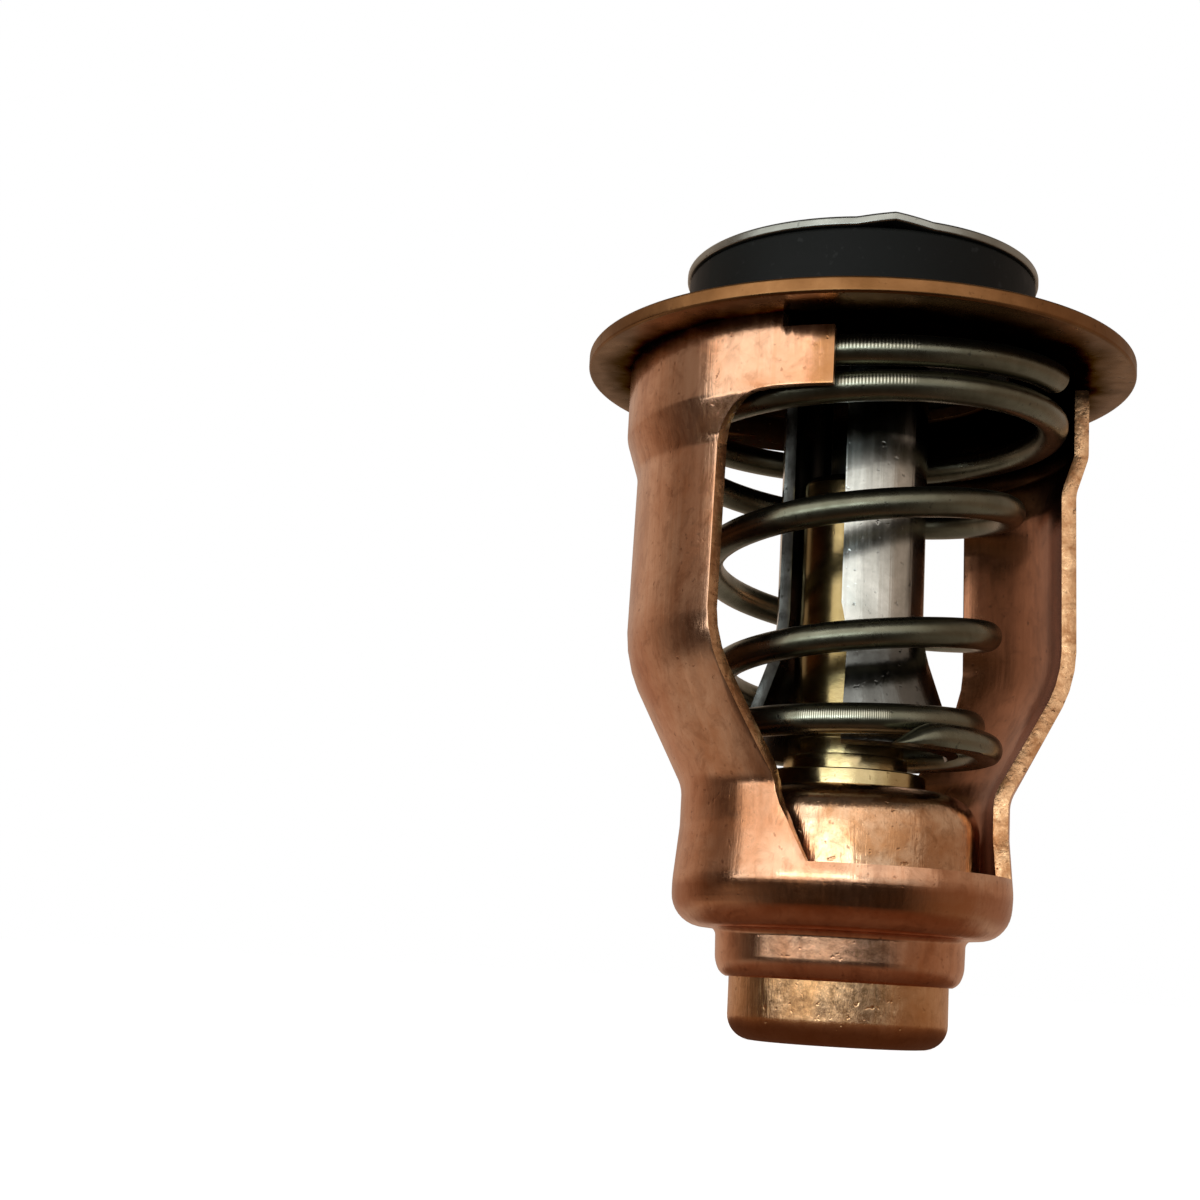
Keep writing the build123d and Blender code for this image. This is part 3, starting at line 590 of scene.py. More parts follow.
# Yoke: a stainless cup drawn from sheet, closed under the valve disc. A slot down each side leaves two
# legs round the guide, and their feet flare out to carry the spring.
YOKE_SHEET = 0.7
YOKE_EDGE_ROUND = 0.06
YOKE_RADIUS = 4.6
YOKE_TOP = 48.36
YOKE_END_ROUND = 1.0
YOKE_FLARE_START = 24.8
YOKE_FLARE_ROUND = 8.0
YOKE_FOOT_RADIUS = 6.95
YOKE_FOOT_END = 17.9
YOKE_SLOT_AZIMUTH = -68.0
YOKE_SLOT_HALF = 2.6
YOKE_SLOT_FOOT_HALF = 4.7
YOKE_SLOT_FOOT = 16.0
YOKE_SLOT_FLARE = 26.6
YOKE_SLOT_TOP = 43.6
drawn_stainless = metal(
    "drawn_stainless", (0.84, 0.84, 0.78), (0.54, 0.54, 0.49), (0.06, 0.06, 0.055),
    fineness=2300, length=34, patch=260, speck=2300, smooth=0.12, rough=0.26, bump=0.35, dent=0.05,
    stain_and_shade=0.55, mottle=0.08)
# Painted shadow: the yoke goes near black high up, under the rubber and the flange plate.
shade_and_tint_band(drawn_stainless, (0.030, 0.031, 0.028), none=36.9, full=37.6, share=0.95, ragged=0.3)
# Painted shade: the legs darken from about where they flare down to the feet.
shade_and_tint_band(drawn_stainless, (0.060, 0.063, 0.062), none=25.6, full=24.2, share=0.80, ragged=0.5)
sheared_steel = metal(
    "sheared_steel", (0.15, 0.147, 0.135), (0.08, 0.077, 0.07), (0.02, 0.02, 0.02),
    fineness=2600, length=900, patch=900, speck=2400, smooth=0.25, rough=0.45, bump=0.6)
# The yoke's inner side: a darker copy of the drawn stainless, as painted shade.
shaded_inner_stainless = metal(
    "shaded_inner_stainless", (0.16, 0.158, 0.145), (0.09, 0.088, 0.08), (0.02, 0.02, 0.02),
    fineness=1700, length=30, patch=220, speck=2300, smooth=0.16, rough=0.30, bump=0.2)
yoke_mesh = bmesh.new()
draw_line(yoke_mesh, [
    (0, YOKE_TOP, 0), (YOKE_RADIUS, YOKE_TOP, YOKE_END_ROUND),
    (YOKE_RADIUS, YOKE_FLARE_START, YOKE_FLARE_ROUND), (YOKE_FOOT_RADIUS, YOKE_FOOT_END, 0)])
turn_round(yoke_mesh, steps=160)
slot_side = sideways(YOKE_SLOT_AZIMUTH)
slot_lean = math.atan2(YOKE_SLOT_FOOT_HALF - YOKE_SLOT_HALF, YOKE_SLOT_FLARE - YOKE_SLOT_FOOT)
for height in (YOKE_SLOT_TOP, YOKE_SLOT_FLARE):
    split_faces(yoke_mesh, yoke_mesh.faces[:], (0, 0, height * MM), (0, 0, 1))
for side in (-1, 1):
    edge_point = slot_side * side * YOKE_SLOT_HALF * MM + Vector((0, 0, YOKE_SLOT_FLARE * MM))
    flare = [face for face in yoke_mesh.faces if face.calc_center_median().z < YOKE_SLOT_FLARE * MM]
    lean = slot_side * side * math.cos(slot_lean) + Vector((0, 0, math.sin(slot_lean)))
    split_faces(yoke_mesh, flare, edge_point, lean)
    straight = [face for face in yoke_mesh.faces
                if YOKE_SLOT_FLARE * MM < face.calc_center_median().z < YOKE_SLOT_TOP * MM]
    split_faces(yoke_mesh, straight, edge_point, slot_side)


def in_yoke_slot(point):
    """True where the slots are cut."""
    height = point.z / MM
    low = max(0, YOKE_SLOT_FLARE - height)
    half = YOKE_SLOT_HALF + low * math.tan(slot_lean)
    return height < YOKE_SLOT_TOP and abs(point.dot(slot_side)) < half * MM


scrap = [face for face in yoke_mesh.faces if in_yoke_slot(face.calc_center_median())]
bmesh.ops.delete(yoke_mesh, geom=scrap, context="FACES")
thicken(yoke_mesh, YOKE_SHEET)
ease_edges(yoke_mesh, YOKE_EDGE_ROUND)
make_piece(
    "slotted_yoke", yoke_mesh, "yoke", "valve",
    [drawn_stainless, sheared_steel, shaded_inner_stainless])

# Spring: round drawn wire wound into a cone. Both end coils are ground flat: the lower one ends in a
# tip thinned from above, and the upper one bears on the flange plate.
WIRE_RADIUS = 0.925
SPRING_TIP_AZIMUTH = -8.8
COIL_STATIONS = (
    (0.00, 9.10, 18.05), (0.30, 8.50, 18.40), (0.60, 7.95, 18.60), (0.95, 7.66, 19.05),
    (1.18, 7.62, 19.75), (1.97, 8.35, 24.00), (2.96, 9.45, 31.55), (3.30, 10.15, 34.30),
    (3.96, 12.15, 38.10), (4.20, 12.45, 39.00), (4.96, 12.70, 40.10), (5.14, 12.95, 41.05))
STEPS_PER_TURN = 80
WIRE_SIDES = 28
TANGENT_STEP = 0.002
GROUND_FOOT = 17.55
TIP_LENGTH = 0.05
TIP_THINNEST = 0.30
TIP_NARROWING = 0.6
FEED_MARKS_PER_TURN = 409
FEED_MARKS = ((-33, -11, 37.0, 42.0), (-47, -9, 17.0, 20.6))
FEED_MARK_FADE = 3.0
FEED_MARK_TONE = (0.80, 0.78, 0.62)


def on_coil(column, turn):
    """Radius or height of the wire's middle at a turn, eased between stations without overshoot."""
    turns = [row[0] for row in COIL_STATIONS]
    values = [row[column] for row in COIL_STATIONS]
    rises = [(values[index + 1] - values[index]) / (turns[index + 1] - turns[index])
             for index in range(len(turns) - 1)]
    slopes = [rises[0]]
    for before, after in zip(rises, rises[1:]):
        slopes.append(2 * before * after / (before + after) if before * after > 0 else 0)
    slopes.append(rises[-1])
    index = 0
    while index < len(turns) - 2 and turn > turns[index + 1]:
        index += 1
    span = turns[index + 1] - turns[index]
    share = (turn - turns[index]) / span
    rise = values[index + 1] - values[index]
    first = span * slopes[index]
    last = span * slopes[index + 1]
    bend = 3 * rise - 2 * first - last
    swing = first + last - 2 * rise
    return values[index] + first * share + bend * share ** 2 + swing * share ** 3


def wire_middle(turn):
    """Middle of the wire at a turn, in metres."""
    place = outward(SPRING_TIP_AZIMUTH + 360 * turn) * on_coil(1, turn)
    return Vector((place.x, place.y, on_coil(2, turn))) * MM


spring_wire = metal(
    "spring_wire", (0.24, 0.235, 0.172), (0.155, 0.15, 0.102), (0.06, 0.06, 0.05),
    fineness=1600, length=1600, patch=260, speck=2600, smooth=0.24, rough=0.36, bump=0.2, dent=0.04)
wire_tree = spring_wire.node_tree
wire_shader = wire_tree.nodes["Principled BSDF"]
wire_tone = wire_shader.inputs["Base Color"].links[0].from_socket
wire_place = add_node(wire_tree, "ShaderNodeTexCoord").outputs["Object"]
wire_parts = add_node(wire_tree, "ShaderNodeSeparateXYZ", {"Vector": wire_place})
frontward = combine(wire_tree, wire_parts.outputs["Y"], -1.0, "MULTIPLY")
wire_turn = combine(wire_tree, wire_parts.outputs["X"], frontward, "ARCTAN2")
wave = combine(wire_tree, combine(wire_tree, wire_turn, FEED_MARKS_PER_TURN, "MULTIPLY"), 0.0, "SINE")
ticks = spread(wire_tree, wave, -0.2, 0.6)
facing = add_node(wire_tree, "ShaderNodeNewGeometry").outputs["Normal"]
facing_up = add_node(wire_tree, "ShaderNodeSeparateXYZ", {"Vector": facing}).outputs["Z"]
over_belly = spread(wire_tree, facing_up, -0.25, -0.05)
under_top = spread(wire_tree, facing_up, 0.55, 0.35)
crown = combine(wire_tree, over_belly, under_top, "MULTIPLY")
gripped = 0.0
for start, end, lowest, highest in FEED_MARKS:
    first = spread(wire_tree, wire_turn, math.radians(start), math.radians(start + FEED_MARK_FADE))
    last = spread(wire_tree, wire_turn, math.radians(end), math.radians(end - FEED_MARK_FADE))
    over = spread(wire_tree, wire_parts.outputs["Z"], lowest * MM, (lowest + 0.1) * MM)
    under = spread(wire_tree, wire_parts.outputs["Z"], highest * MM, (highest - 0.1) * MM)
    level = combine(wire_tree, over, under, "MULTIPLY")
    patch = combine(wire_tree, combine(wire_tree, first, last, "MULTIPLY"), level, "MULTIPLY")
    gripped = combine(wire_tree, gripped, patch, "ADD")
marked = combine(wire_tree, combine(wire_tree, ticks, crown, "MULTIPLY"), gripped, "MULTIPLY")
wire_tone = blend_colours(wire_tree, marked, wire_tone, FEED_MARK_TONE)
wire_tree.links.new(wire_tone, wire_shader.inputs["Base Color"])
spring_mesh = bmesh.new()
ring = bmesh.ops.create_circle(
    spring_mesh, cap_ends=True, segments=WIRE_SIDES, radius=WIRE_RADIUS * MM)["verts"]
last_turn = COIL_STATIONS[-1][0]
step_count = round(last_turn * STEPS_PER_TURN)
seat = None
for step in range(step_count + 1):
    turn = last_turn * step / step_count
    ahead = wire_middle(min(turn + TANGENT_STEP, last_turn))
    along = (ahead - wire_middle(max(turn - TANGENT_STEP, 0))).normalized()
    across = along.cross(Vector((0, 0, 1))).normalized()
    above = across.cross(along)
    taper = TIP_THINNEST + (1 - TIP_THINNEST) * math.sin(math.pi / 2 * min(1, turn / TIP_LENGTH))
    width = 1 - TIP_NARROWING * (1 - taper)
    turned_to = Matrix((across * width, above * taper, along)).transposed().to_4x4()
    sunk = wire_middle(turn) - above * (1 - taper) * WIRE_RADIUS * MM
    new_seat = Matrix.Translation(sunk) @ turned_to
    if seat is not None:
        around = {edge for vert in ring for edge in vert.link_edges}
        rim_edges = [edge for edge in around if edge.verts[0] in ring and edge.verts[1] in ring]
        grown = bmesh.ops.extrude_edge_only(spring_mesh, edges=rim_edges)["geom"]
        ring = [item for item in grown if isinstance(item, bmesh.types.BMVert)]
        bmesh.ops.transform(spring_mesh, matrix=new_seat @ seat.inverted(), verts=ring)
    else:
        bmesh.ops.transform(spring_mesh, matrix=new_seat, verts=ring)
    seat = new_seat
end_edges = [edge for edge in spring_mesh.edges if len(edge.link_faces) == 1]
bmesh.ops.contextual_create(spring_mesh, geom=end_edges)
bmesh.ops.recalc_face_normals(spring_mesh, faces=spring_mesh.faces[:])
for vert in spring_mesh.verts:
    vert.co.z = max(GROUND_FOOT * MM, min(vert.co.z, FLANGE_UNDERSIDE * MM))
spring_piece = make_piece("coil_spring", spring_mesh, "spring", "frame", [spring_wire])
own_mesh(spring_piece)

# Flange plate: a blanked copper ring that clamps in the housing. The frame's lugs are staked in it and
# the valve's rubber seats on it.
FLANGE_RADIUS = 17.5
PORT_RADIUS = 9.6
FLANGE_EDGE_ROUND = 0.2
OUTLINE_START = 13.0
# Painted shade: the flange's underside goes near black towards the port and towards the back.
UNDERSIDE_SHADE_TONE = (0.020, 0.011, 0.006)
UNDERSIDE_SHADE_RING = (16.9, 14.6)
UNDERSIDE_SHADE_AZIMUTH = 150.0
UNDERSIDE_SHADE_BEHIND = (8.0, 12.5)
UNDERSIDE_SHADE_WANDER = 0.5
UNDERSIDE_SHADE_DEPTH = (0.3, 0.1)
flange_copper = metal(
    "flange_copper", (0.37, 0.175, 0.068), (0.25, 0.11, 0.038), (0.10, 0.04, 0.012),
    fineness=900, length=900, patch=240, speck=1900, smooth=0.32, rough=0.50, bump=0.4, dent=0.08)
flange_tree = flange_copper.node_tree
flange_shader = flange_tree.nodes["Principled BSDF"]
clean_tone = flange_shader.inputs["Base Color"].links[0].from_socket
flange_place = add_node(flange_tree, "ShaderNodeTexCoord").outputs["Object"]
flange_parts = add_node(flange_tree, "ShaderNodeSeparateXYZ", {"Vector": flange_place})
level_place = add_node(flange_tree, "ShaderNodeCombineXYZ", {
    "X": flange_parts.outputs["X"], "Y": flange_parts.outputs["Y"]})
from_axis = add_node(flange_tree, "ShaderNodeVectorMath", {0: level_place.outputs[0]}, operation="LENGTH")
ragged = add_node(flange_tree, "ShaderNodeTexNoise", {"Vector": flange_place, "Scale": 420.0, "Detail": 4.0})
wander = spread(flange_tree, ragged.outputs[0], 0.3, 0.7, -UNDERSIDE_SHADE_WANDER * MM, UNDERSIDE_SHADE_WANDER * MM)
shade_radius = combine(flange_tree, from_axis.outputs["Value"], wander, "ADD")
shade_reach = spread(flange_tree, shade_radius, UNDERSIDE_SHADE_RING[0] * MM, UNDERSIDE_SHADE_RING[1] * MM)
behind = add_node(flange_tree, "ShaderNodeVectorMath", {
    0: flange_place, 1: outward(UNDERSIDE_SHADE_AZIMUTH)}, operation="DOT_PRODUCT").outputs["Value"]
shade_behind = spread(flange_tree, behind, UNDERSIDE_SHADE_BEHIND[0] * MM, UNDERSIDE_SHADE_BEHIND[1] * MM)
shade_reach = combine(flange_tree, shade_reach, shade_behind, "MAXIMUM")
below = spread(
    flange_tree, flange_parts.outputs["Z"], (FLANGE_UNDERSIDE + UNDERSIDE_SHADE_DEPTH[0]) * MM,
    (FLANGE_UNDERSIDE + UNDERSIDE_SHADE_DEPTH[1]) * MM)
underside_shade = combine(flange_tree, shade_reach, below, "MULTIPLY")
stain_and_shade = spread(flange_tree, underside_shade, 0.0, 1.0, 0.12, 0.96)
stain_and_shade = combine(flange_tree, stain_and_shade, below, "MULTIPLY")
flange_tone = blend_colours(flange_tree, stain_and_shade, clean_tone, UNDERSIDE_SHADE_TONE)
flange_tree.links.new(flange_tone, flange_shader.inputs["Base Color"])
# Painted shade in the reflections too: their tint turns dull and brown where the underside is shaded.
glance = blend_colours(flange_tree, underside_shade, (0.86, 0.91, 0.88), (0.26, 0.23, 0.17))
flange_tree.links.new(glance, flange_shader.inputs["Specular Tint"])
flange_gloss = flange_shader.inputs["Roughness"].links[0].from_socket
polish = combine(flange_tree, flange_gloss, spread(flange_tree, below, 0.0, 1.0, 1.0, 0.7), "MULTIPLY")
flange_tree.links.new(polish, flange_shader.inputs["Roughness"])
flange_mesh = bmesh.new()
draw_line(flange_mesh, [
    (OUTLINE_START, FLANGE_UNDERSIDE, 0), (FLANGE_RADIUS, FLANGE_UNDERSIDE, FLANGE_EDGE_ROUND),
    (FLANGE_RADIUS, FLANGE_TOP, FLANGE_EDGE_ROUND), (PORT_RADIUS, FLANGE_TOP, FLANGE_EDGE_ROUND),
    (PORT_RADIUS, FLANGE_UNDERSIDE, FLANGE_EDGE_ROUND), (OUTLINE_START, FLANGE_UNDERSIDE, 0)])
turn_round(flange_mesh)
make_piece("copper_flange", flange_mesh, "flange_plate", "frame", [flange_copper])

# Valve rubber: a thick ring moulded in black rubber, round the yoke's closed end and under the disc.
# Its lip lies on the flange plate round the port.
RUBBER_RADIUS = 11.2
RUBBER_ROUND = 0.3
SEAT_INNER_RADIUS = 9.9
RELIEF_RADIUS = 9.1
RELIEF_TOP = 43.7


def moulded(name, base, scuff, rough, scale):
    """Moulded rubber or plastic: faint scuffs over an even colour and a fine skin texture."""
    material = bpy.data.materials.new(name)
    material.use_nodes = True
    tree = material.node_tree
    shader = tree.nodes["Principled BSDF"]
    place = add_node(tree, "ShaderNodeTexCoord").outputs["Object"]
    wear = add_node(tree, "ShaderNodeGroup", node_tree=tarnish_tree)
    wear.inputs["Patch"].default_value = scale
    wear.inputs["Speck"].default_value = scale * 6
    tree.links.new(place, wear.inputs["Place"])
    cloud = wear.outputs["Cloud"]
    tone = blend_colours(tree, cloud, base, scuff)
    dust = combine(tree, wear.outputs["Specks"], 0.06, "MULTIPLY")
    tone = blend_colours(tree, dust, tone, (0.25, 0.25, 0.25))
    tree.links.new(tone, shader.inputs["Base Color"])
    tree.links.new(spread(tree, cloud, 0.0, 1.0, rough, rough + 0.15), shader.inputs["Roughness"])
    skin = add_node(tree, "ShaderNodeTexNoise", {"Vector": place, "Scale": scale * 8, "Detail": 3.0})
    relief = add_node(tree, "ShaderNodeBump", {
        "Height": skin.outputs[0], "Strength": 0.2, "Distance": 0.00003})
    tree.links.new(relief.outputs[0], shader.inputs["Normal"])
    shader.inputs["Specular IOR Level"].default_value = 0.16
    return material


black_rubber = moulded("black_rubber", (0.0045, 0.005, 0.0046), (0.008, 0.009, 0.0082), rough=0.48, scale=260)
rubber_mesh = bmesh.new()
draw_line(rubber_mesh, [
    (YOKE_RADIUS, RELIEF_TOP, 0), (RELIEF_RADIUS, RELIEF_TOP, 0), (SEAT_INNER_RADIUS, FLANGE_TOP, 0),
    (RUBBER_RADIUS, FLANGE_TOP, RUBBER_ROUND), (RUBBER_RADIUS, YOKE_TOP, RUBBER_ROUND),
    (YOKE_RADIUS, YOKE_TOP, 0), (YOKE_RADIUS, RELIEF_TOP, 0)])
turn_round(rubber_mesh)
make_piece("rubber_seat", rubber_mesh, "valve_rubber", "valve", [black_rubber])

# Valve disc: blanked stainless sheet over the rubber, held by the rivet.
# It has one V-shaped crimp in its edge.
DISC_RADIUS = 11.37
DISC_UNDERSIDE = YOKE_TOP
DISC_TOP = 48.96
DISC_LOWER_ROUND = 0.12
DISC_UPPER_ROUND = 0.2
RIVET_RADIUS = 1.5
CRIMP_AZIMUTH = -16.8
CRIMP_HALF_WIDTH = 2.5
CRIMP_HEIGHT = 0.4
CRIMP_LENGTH = 4.2
CRIMP_RINGS = (7, 9)
disc_stainless = metal(
    "disc_stainless", (0.46, 0.47, 0.43), (0.32, 0.325, 0.285), (0.08, 0.08, 0.07),
    fineness=900, length=900, patch=200, speck=1500, smooth=0.20, rough=0.38, bump=0.3)
disc_mesh = bmesh.new()
draw_line(disc_mesh, [
    (RIVET_RADIUS, DISC_UNDERSIDE, 0), *[(radius, DISC_UNDERSIDE, 0) for radius in CRIMP_RINGS],
    (DISC_RADIUS, DISC_UNDERSIDE, DISC_LOWER_ROUND), (DISC_RADIUS, DISC_TOP, DISC_UPPER_ROUND),
    *[(radius, DISC_TOP, 0) for radius in reversed(CRIMP_RINGS)], (RIVET_RADIUS, DISC_TOP, 0),
    (RIVET_RADIUS, DISC_UNDERSIDE, 0)])
turn_round(disc_mesh, steps=360)
for vert in disc_mesh.verts:
    reach = vert.co.dot(outward(CRIMP_AZIMUTH)) / MM
    off_middle = abs(vert.co.dot(sideways(CRIMP_AZIMUTH))) / MM
    share = max(0, min(1, (reach - DISC_RADIUS + CRIMP_LENGTH) / CRIMP_LENGTH))
    lift = CRIMP_HEIGHT * share * max(0, 1 - off_middle / (CRIMP_HALF_WIDTH * max(share, 0.05)))
    vert.co.z += lift * MM
make_piece("crimped_disc", disc_mesh, "valve_disc", "valve", [disc_stainless])

# Rivet: turned from the disc's stainless steel and headed over at both ends.
# It holds the disc and the yoke's closed end together.
RIVET_TAIL_RADIUS = 2.6
RIVET_TAIL_ROUND = 0.3
RIVET_HEAD_RADIUS = 3.0
RIVET_HEAD_TOP = 49.86
RIVET_HEAD_EDGE = 0.05
RIVET_HEAD_ROUND = 0.8
rivet_mesh = bmesh.new()
yoke_ceiling = YOKE_TOP - YOKE_SHEET
draw_line(rivet_mesh, [
    (0, PISTON_TOP, 0), (RIVET_TAIL_RADIUS, PISTON_TOP, RIVET_TAIL_ROUND),
    (RIVET_TAIL_RADIUS, yoke_ceiling, 0), (RIVET_RADIUS, yoke_ceiling, 0), (RIVET_RADIUS, DISC_TOP, 0),
    (RIVET_HEAD_RADIUS, DISC_TOP, RIVET_HEAD_EDGE), (RIVET_HEAD_RADIUS, RIVET_HEAD_TOP, RIVET_HEAD_ROUND),
    (0, RIVET_HEAD_TOP, 0)])
turn_round(rivet_mesh, steps=120)
make_piece("disc_rivet", rivet_mesh, "rivet", "valve", [disc_stainless])

# Inside the capsule and the guide: wax charge, diaphragm, plug and backing disc. They stay hidden
# until the part is cut open, so their CAD shapes are kept.
wax_fill = moulded("wax_fill", (0.62, 0.44, 0.24), (0.50, 0.33, 0.16), rough=0.45, scale=500)
seal_rubber = moulded("seal_rubber", (0.020, 0.020, 0.020), (0.035, 0.035, 0.035), rough=0.50, scale=400)
hard_plastic = moulded("hard_plastic", (0.72, 0.72, 0.69), (0.62, 0.62, 0.58), rough=0.35, scale=400)
for node, material in (("wax_charge", wax_fill), ("diaphragm", seal_rubber), ("plug", seal_rubber),
                       ("backing_disc", hard_plastic)):
    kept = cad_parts[node]
    kept.data.materials.clear()
    kept.data.materials.append(material)

# Stage: a pale floor that the camera sees but the polished metal does not mirror, the part's dim shadow
# on it that the metal does mirror, and a studio whose walls and floor change with the direction.
CAMERA_AZIMUTH = -26.8
FLOOR_RADIUS = 6000.0
FLOOR_DROP = 0.02
SHADOW_RADIUS = 26.0
SHADOW_DROP = 0.01
SHADOW_EDGE = (15.0, 23.0)
SHADOW_CORE = (18.0, 7.0)


def stage_disc(name, radius, drop):
    """Flat disc just under the part's foot that throws no light or shadow on it."""
    mesh = bmesh.new()
    bmesh.ops.create_circle(mesh, cap_ends=True, segments=96, radius=radius * MM)
    bmesh.ops.translate(mesh, verts=mesh.verts[:], vec=(0, 0, -drop * MM))
    data = bpy.data.meshes.new(name)
    mesh.to_mesh(data)
    mesh.free()
    disc = bpy.data.objects.new(name, data)
    bpy.context.scene.collection.objects.link(disc)
    disc.visible_diffuse = False
    disc.visible_shadow = False
    return disc


floor = stage_disc("pale_floor", FLOOR_RADIUS, FLOOR_DROP)
floor.visible_glossy = False
floor_paint = bpy.data.materials.new("floor_paint")
floor_paint.use_nodes = True
floor_shader = floor_paint.node_tree.nodes["Principled BSDF"]
floor_shader.inputs["Base Color"].default_value = (0.60, 0.60, 0.60, 1)
floor_shader.inputs["Roughness"].default_value = 0.9
floor_shader.inputs["Emission Color"].default_value = (1, 1, 1, 1)
floor_shader.inputs["Emission Strength"].default_value = 0.95
floor.data.materials.append(floor_paint)

floor_shadow = stage_disc("floor_shadow", SHADOW_RADIUS, SHADOW_DROP)
floor_shadow.visible_camera = False
shadow_paint = bpy.data.materials.new("shadow_paint")
shadow_paint.use_nodes = True
shadow_tree = shadow_paint.node_tree
shadow_tree.nodes.clear()
shadow_place = add_node(shadow_tree, "ShaderNodeTexCoord").outputs["Object"]
shadow_radius = add_node(
    shadow_tree, "ShaderNodeVectorMath", {0: shadow_place}, operation="LENGTH").outputs["Value"]
shadow_end = spread(shadow_tree, shadow_radius, SHADOW_EDGE[0] * MM, SHADOW_EDGE[1] * MM)
under_part = spread(shadow_tree, shadow_radius, SHADOW_CORE[0] * MM, SHADOW_CORE[1] * MM)
shadow_tone = blend_colours(shadow_tree, under_part, (0.190, 0.100, 0.060), (0.088, 0.040, 0.023))
dim_floor = add_node(shadow_tree, "ShaderNodeEmission", {"Color": shadow_tone, "Strength": 1.0})
past_shadow = add_node(shadow_tree, "ShaderNodeBsdfTransparent")
shadow_mix = add_node(shadow_tree, "ShaderNodeMixShader", {"Fac": shadow_end})
shadow_tree.links.new(dim_floor.outputs[0], shadow_mix.inputs[1])
shadow_tree.links.new(past_shadow.outputs[0], shadow_mix.inputs[2])
shadow_out = add_node(shadow_tree, "ShaderNodeOutputMaterial")
shadow_tree.links.new(shadow_mix.outputs[0], shadow_out.inputs["Surface"])
floor_shadow.data.materials.append(shadow_paint)

world = bpy.data.worlds.new("studio")
bpy.context.scene.world = world
world.use_nodes = True
world_tree = world.node_tree
world_tree.nodes.clear()


def ramp(tree, share, stops, tint):
    """Colour ramp round the room, from turns in degrees and brightness levels, in one tint."""
    made = add_node(tree, "ShaderNodeValToRGB", {"Fac": share})
    while len(made.color_ramp.elements) < len(stops):
        made.color_ramp.elements.new(0.5)
    for stop, (turn, level) in zip(made.color_ramp.elements, stops):
        stop.position = (turn + 180) / 360
        stop.color = (level * tint[0], level * tint[1], level * tint[2], 1)
    return made.outputs[0]


direction = add_node(world_tree, "ShaderNodeTexCoord").outputs["Generated"]
parts = add_node(world_tree, "ShaderNodeSeparateXYZ", {"Vector": direction})
to_front = combine(world_tree, parts.outputs["Y"], -1, "MULTIPLY")
bearing = combine(world_tree, parts.outputs["X"], to_front, "ARCTAN2")
bearing = combine(world_tree, bearing, math.radians(-CAMERA_AZIMUTH), "ADD")
wrapped = add_node(world_tree, "ShaderNodeMath", {0: bearing, 1: math.pi, 2: -math.pi}, operation="WRAP")
round_share = spread(world_tree, wrapped.outputs[0], -math.pi, math.pi)
wall_levels = ((-180, 0.48), (-142, 0.47), (-126, 0.46), (-114, 0.37), (-102, 0.22), (-85, 0.20), (-74, 0.18),
               (60, 0.38), (80, 0.36), (110, 0.34), (145, 0.36), (180, 0.48))
low_levels = ((-180, 0.46), (-142, 0.42), (-126, 0.36), (-114, 0.25), (-102, 0.12), (-85, 0.05), (-70, 0.03),
              (40, 0.03), (60, 0.20), (80, 0.26), (110, 0.30), (145, 0.36), (180, 0.46))
floor_levels = ((-180, 0.36), (-120, 0.46), (-85, 0.34), (-60, 0.12), (-40, 0.03), (40, 0.03), (75, 0.26),
                (120, 0.34), (180, 0.36))
walls = ramp(world_tree, round_share, wall_levels, (1.0, 0.79, 0.64))
low_walls = ramp(world_tree, round_share, low_levels, (1.0, 0.70, 0.52))
ground = ramp(world_tree, round_share, floor_levels, (1.0, 0.84, 0.70))
low_share = spread(world_tree, parts.outputs["Z"], 0.16, 0.08)
floor_share = spread(world_tree, parts.outputs["Z"], -0.18, -0.40)
high_share = spread(world_tree, parts.outputs["Z"], 0.55, 0.80)
under_share = spread(world_tree, parts.outputs["Z"], -0.50, -0.95)
ground = blend_colours(world_tree, under_share, ground, (0.050, 0.028, 0.017))
room = blend_colours(world_tree, low_share, walls, low_walls)
room = blend_colours(world_tree, floor_share, room, ground)
room = blend_colours(world_tree, high_share, room, (0.055, 0.052, 0.048))
seen = add_node(world_tree, "ShaderNodeBackground", {"Color": (1, 1, 1, 1), "Strength": 1.0})
mirrored = add_node(world_tree, "ShaderNodeBackground", {"Color": room, "Strength": 1.0})
by_camera = add_node(world_tree, "ShaderNodeLightPath").outputs["Is Camera Ray"]
chosen = add_node(world_tree, "ShaderNodeMixShader", {"Fac": by_camera})
world_tree.links.new(mirrored.outputs[0], chosen.inputs[1])
world_tree.links.new(seen.outputs[0], chosen.inputs[2])
sky = add_node(world_tree, "ShaderNodeOutputWorld")
world_tree.links.new(chosen.outputs[0], sky.inputs["Surface"])

# Lights: wide soft panels side by side on the camera's side, brighter to the left. Two narrow panels near
# the level of the part's foot light the cup, the neck and the capsule.
LIGHT_TARGET = Vector((0, 0, 0.022))


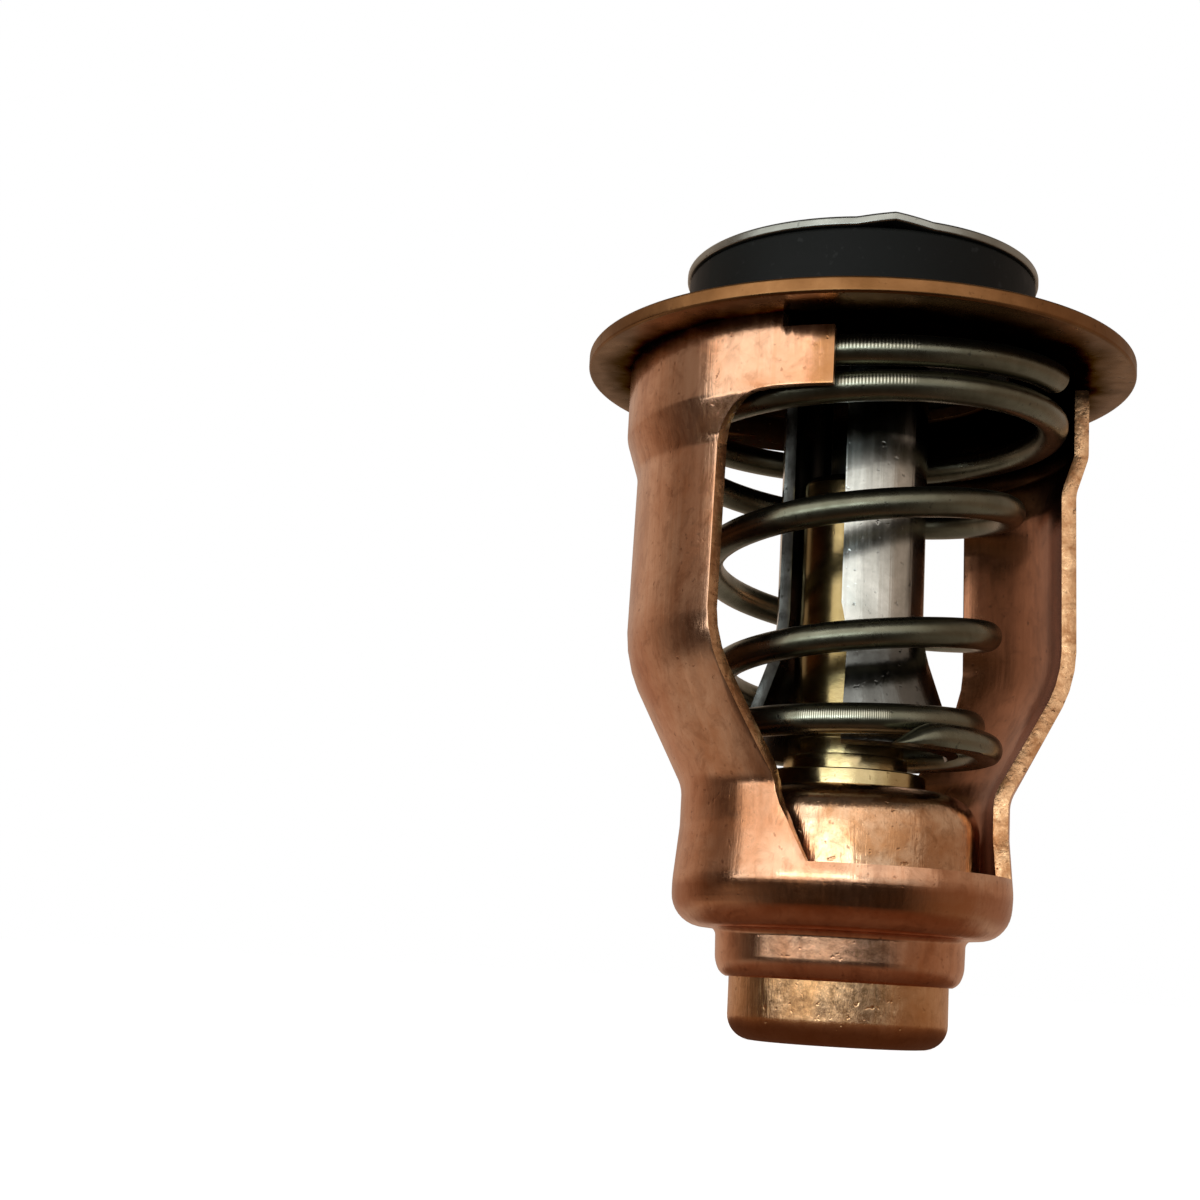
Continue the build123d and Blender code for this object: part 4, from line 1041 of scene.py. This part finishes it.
def soft_panel(name, left, right, bottom, top, distance, radiance, colour):
    """Area light that the part sees between two turns from the camera and two elevations, in degrees."""
    lamp = bpy.data.lights.new(name, "AREA")
    lamp.shape = "RECTANGLE"
    lamp.size = 2 * distance * math.tan(math.radians((right - left) / 2))
    lamp.size_y = 2 * distance * math.tan(math.radians((top - bottom) / 2))
    lamp.energy = radiance * math.pi * lamp.size * lamp.size_y
    lamp.color = colour
    holder = bpy.data.objects.new(name, lamp)
    bpy.context.scene.collection.objects.link(holder)
    elevation = math.radians((top + bottom) / 2)
    level = outward(CAMERA_AZIMUTH + (left + right) / 2) * math.cos(elevation)
    away = level + Vector((0, 0, math.sin(elevation)))
    holder.location = LIGHT_TARGET + away * distance
    holder.rotation_mode = "QUATERNION"
    holder.rotation_quaternion = (-away).to_track_quat("-Z", "Y")


daylight = (0.96, 1.0, 1.0)
soft_panel(
    "left_window", left=-74, right=-26, bottom=-1, top=42, distance=0.40, radiance=1.15, colour=daylight)
soft_panel(
    "front_window", left=-26, right=14, bottom=-1, top=42, distance=0.40, radiance=0.96, colour=daylight)
soft_panel(
    "front_wall", left=14, right=42, bottom=14, top=42, distance=0.40, radiance=0.54, colour=daylight)
soft_panel(
    "front_bench", left=14, right=42, bottom=-6, top=14, distance=0.40, radiance=0.68, colour=daylight)
soft_panel(
    "right_wall", left=42, right=64, bottom=-6, top=40, distance=0.40, radiance=0.34, colour=daylight)
soft_panel(
    "table_edge", left=-76, right=16, bottom=-7, top=-1, distance=0.40, radiance=1.75, colour=daylight)
soft_panel(
    "low_lamp", left=-42, right=8, bottom=-1.5, top=6, distance=0.38, radiance=2.45, colour=(1.0, 1.22, 1.32))

# Camera: close to the part, low and to the left of the front window. It looks up a little and is rolled,
# so that the part leans in view.
CAMERA_PLACE = Vector((-55.33, -109.52, 3.45))
CAMERA_HEADING = -19.348
CAMERA_PITCH = 10.8256
CAMERA_ROLL = 3.3145
eye = bpy.data.cameras.new("eye")
eye.sensor_fit = "HORIZONTAL"
eye.sensor_width = 36.0
eye.lens = 58.483
eye.clip_start = 0.004
eye.clip_end = 10.0
camera = bpy.data.objects.new("eye", eye)
bpy.context.scene.collection.objects.link(camera)
heading = Matrix.Rotation(math.radians(CAMERA_HEADING), 4, "Z")
pitch = Matrix.Rotation(math.radians(90 + CAMERA_PITCH), 4, "X")
roll = Matrix.Rotation(math.radians(CAMERA_ROLL), 4, "Z")
camera.matrix_world = Matrix.Translation(CAMERA_PLACE * MM) @ heading @ pitch @ roll
bpy.context.scene.camera = camera
bpy.context.scene.view_settings.view_transform = "Standard"
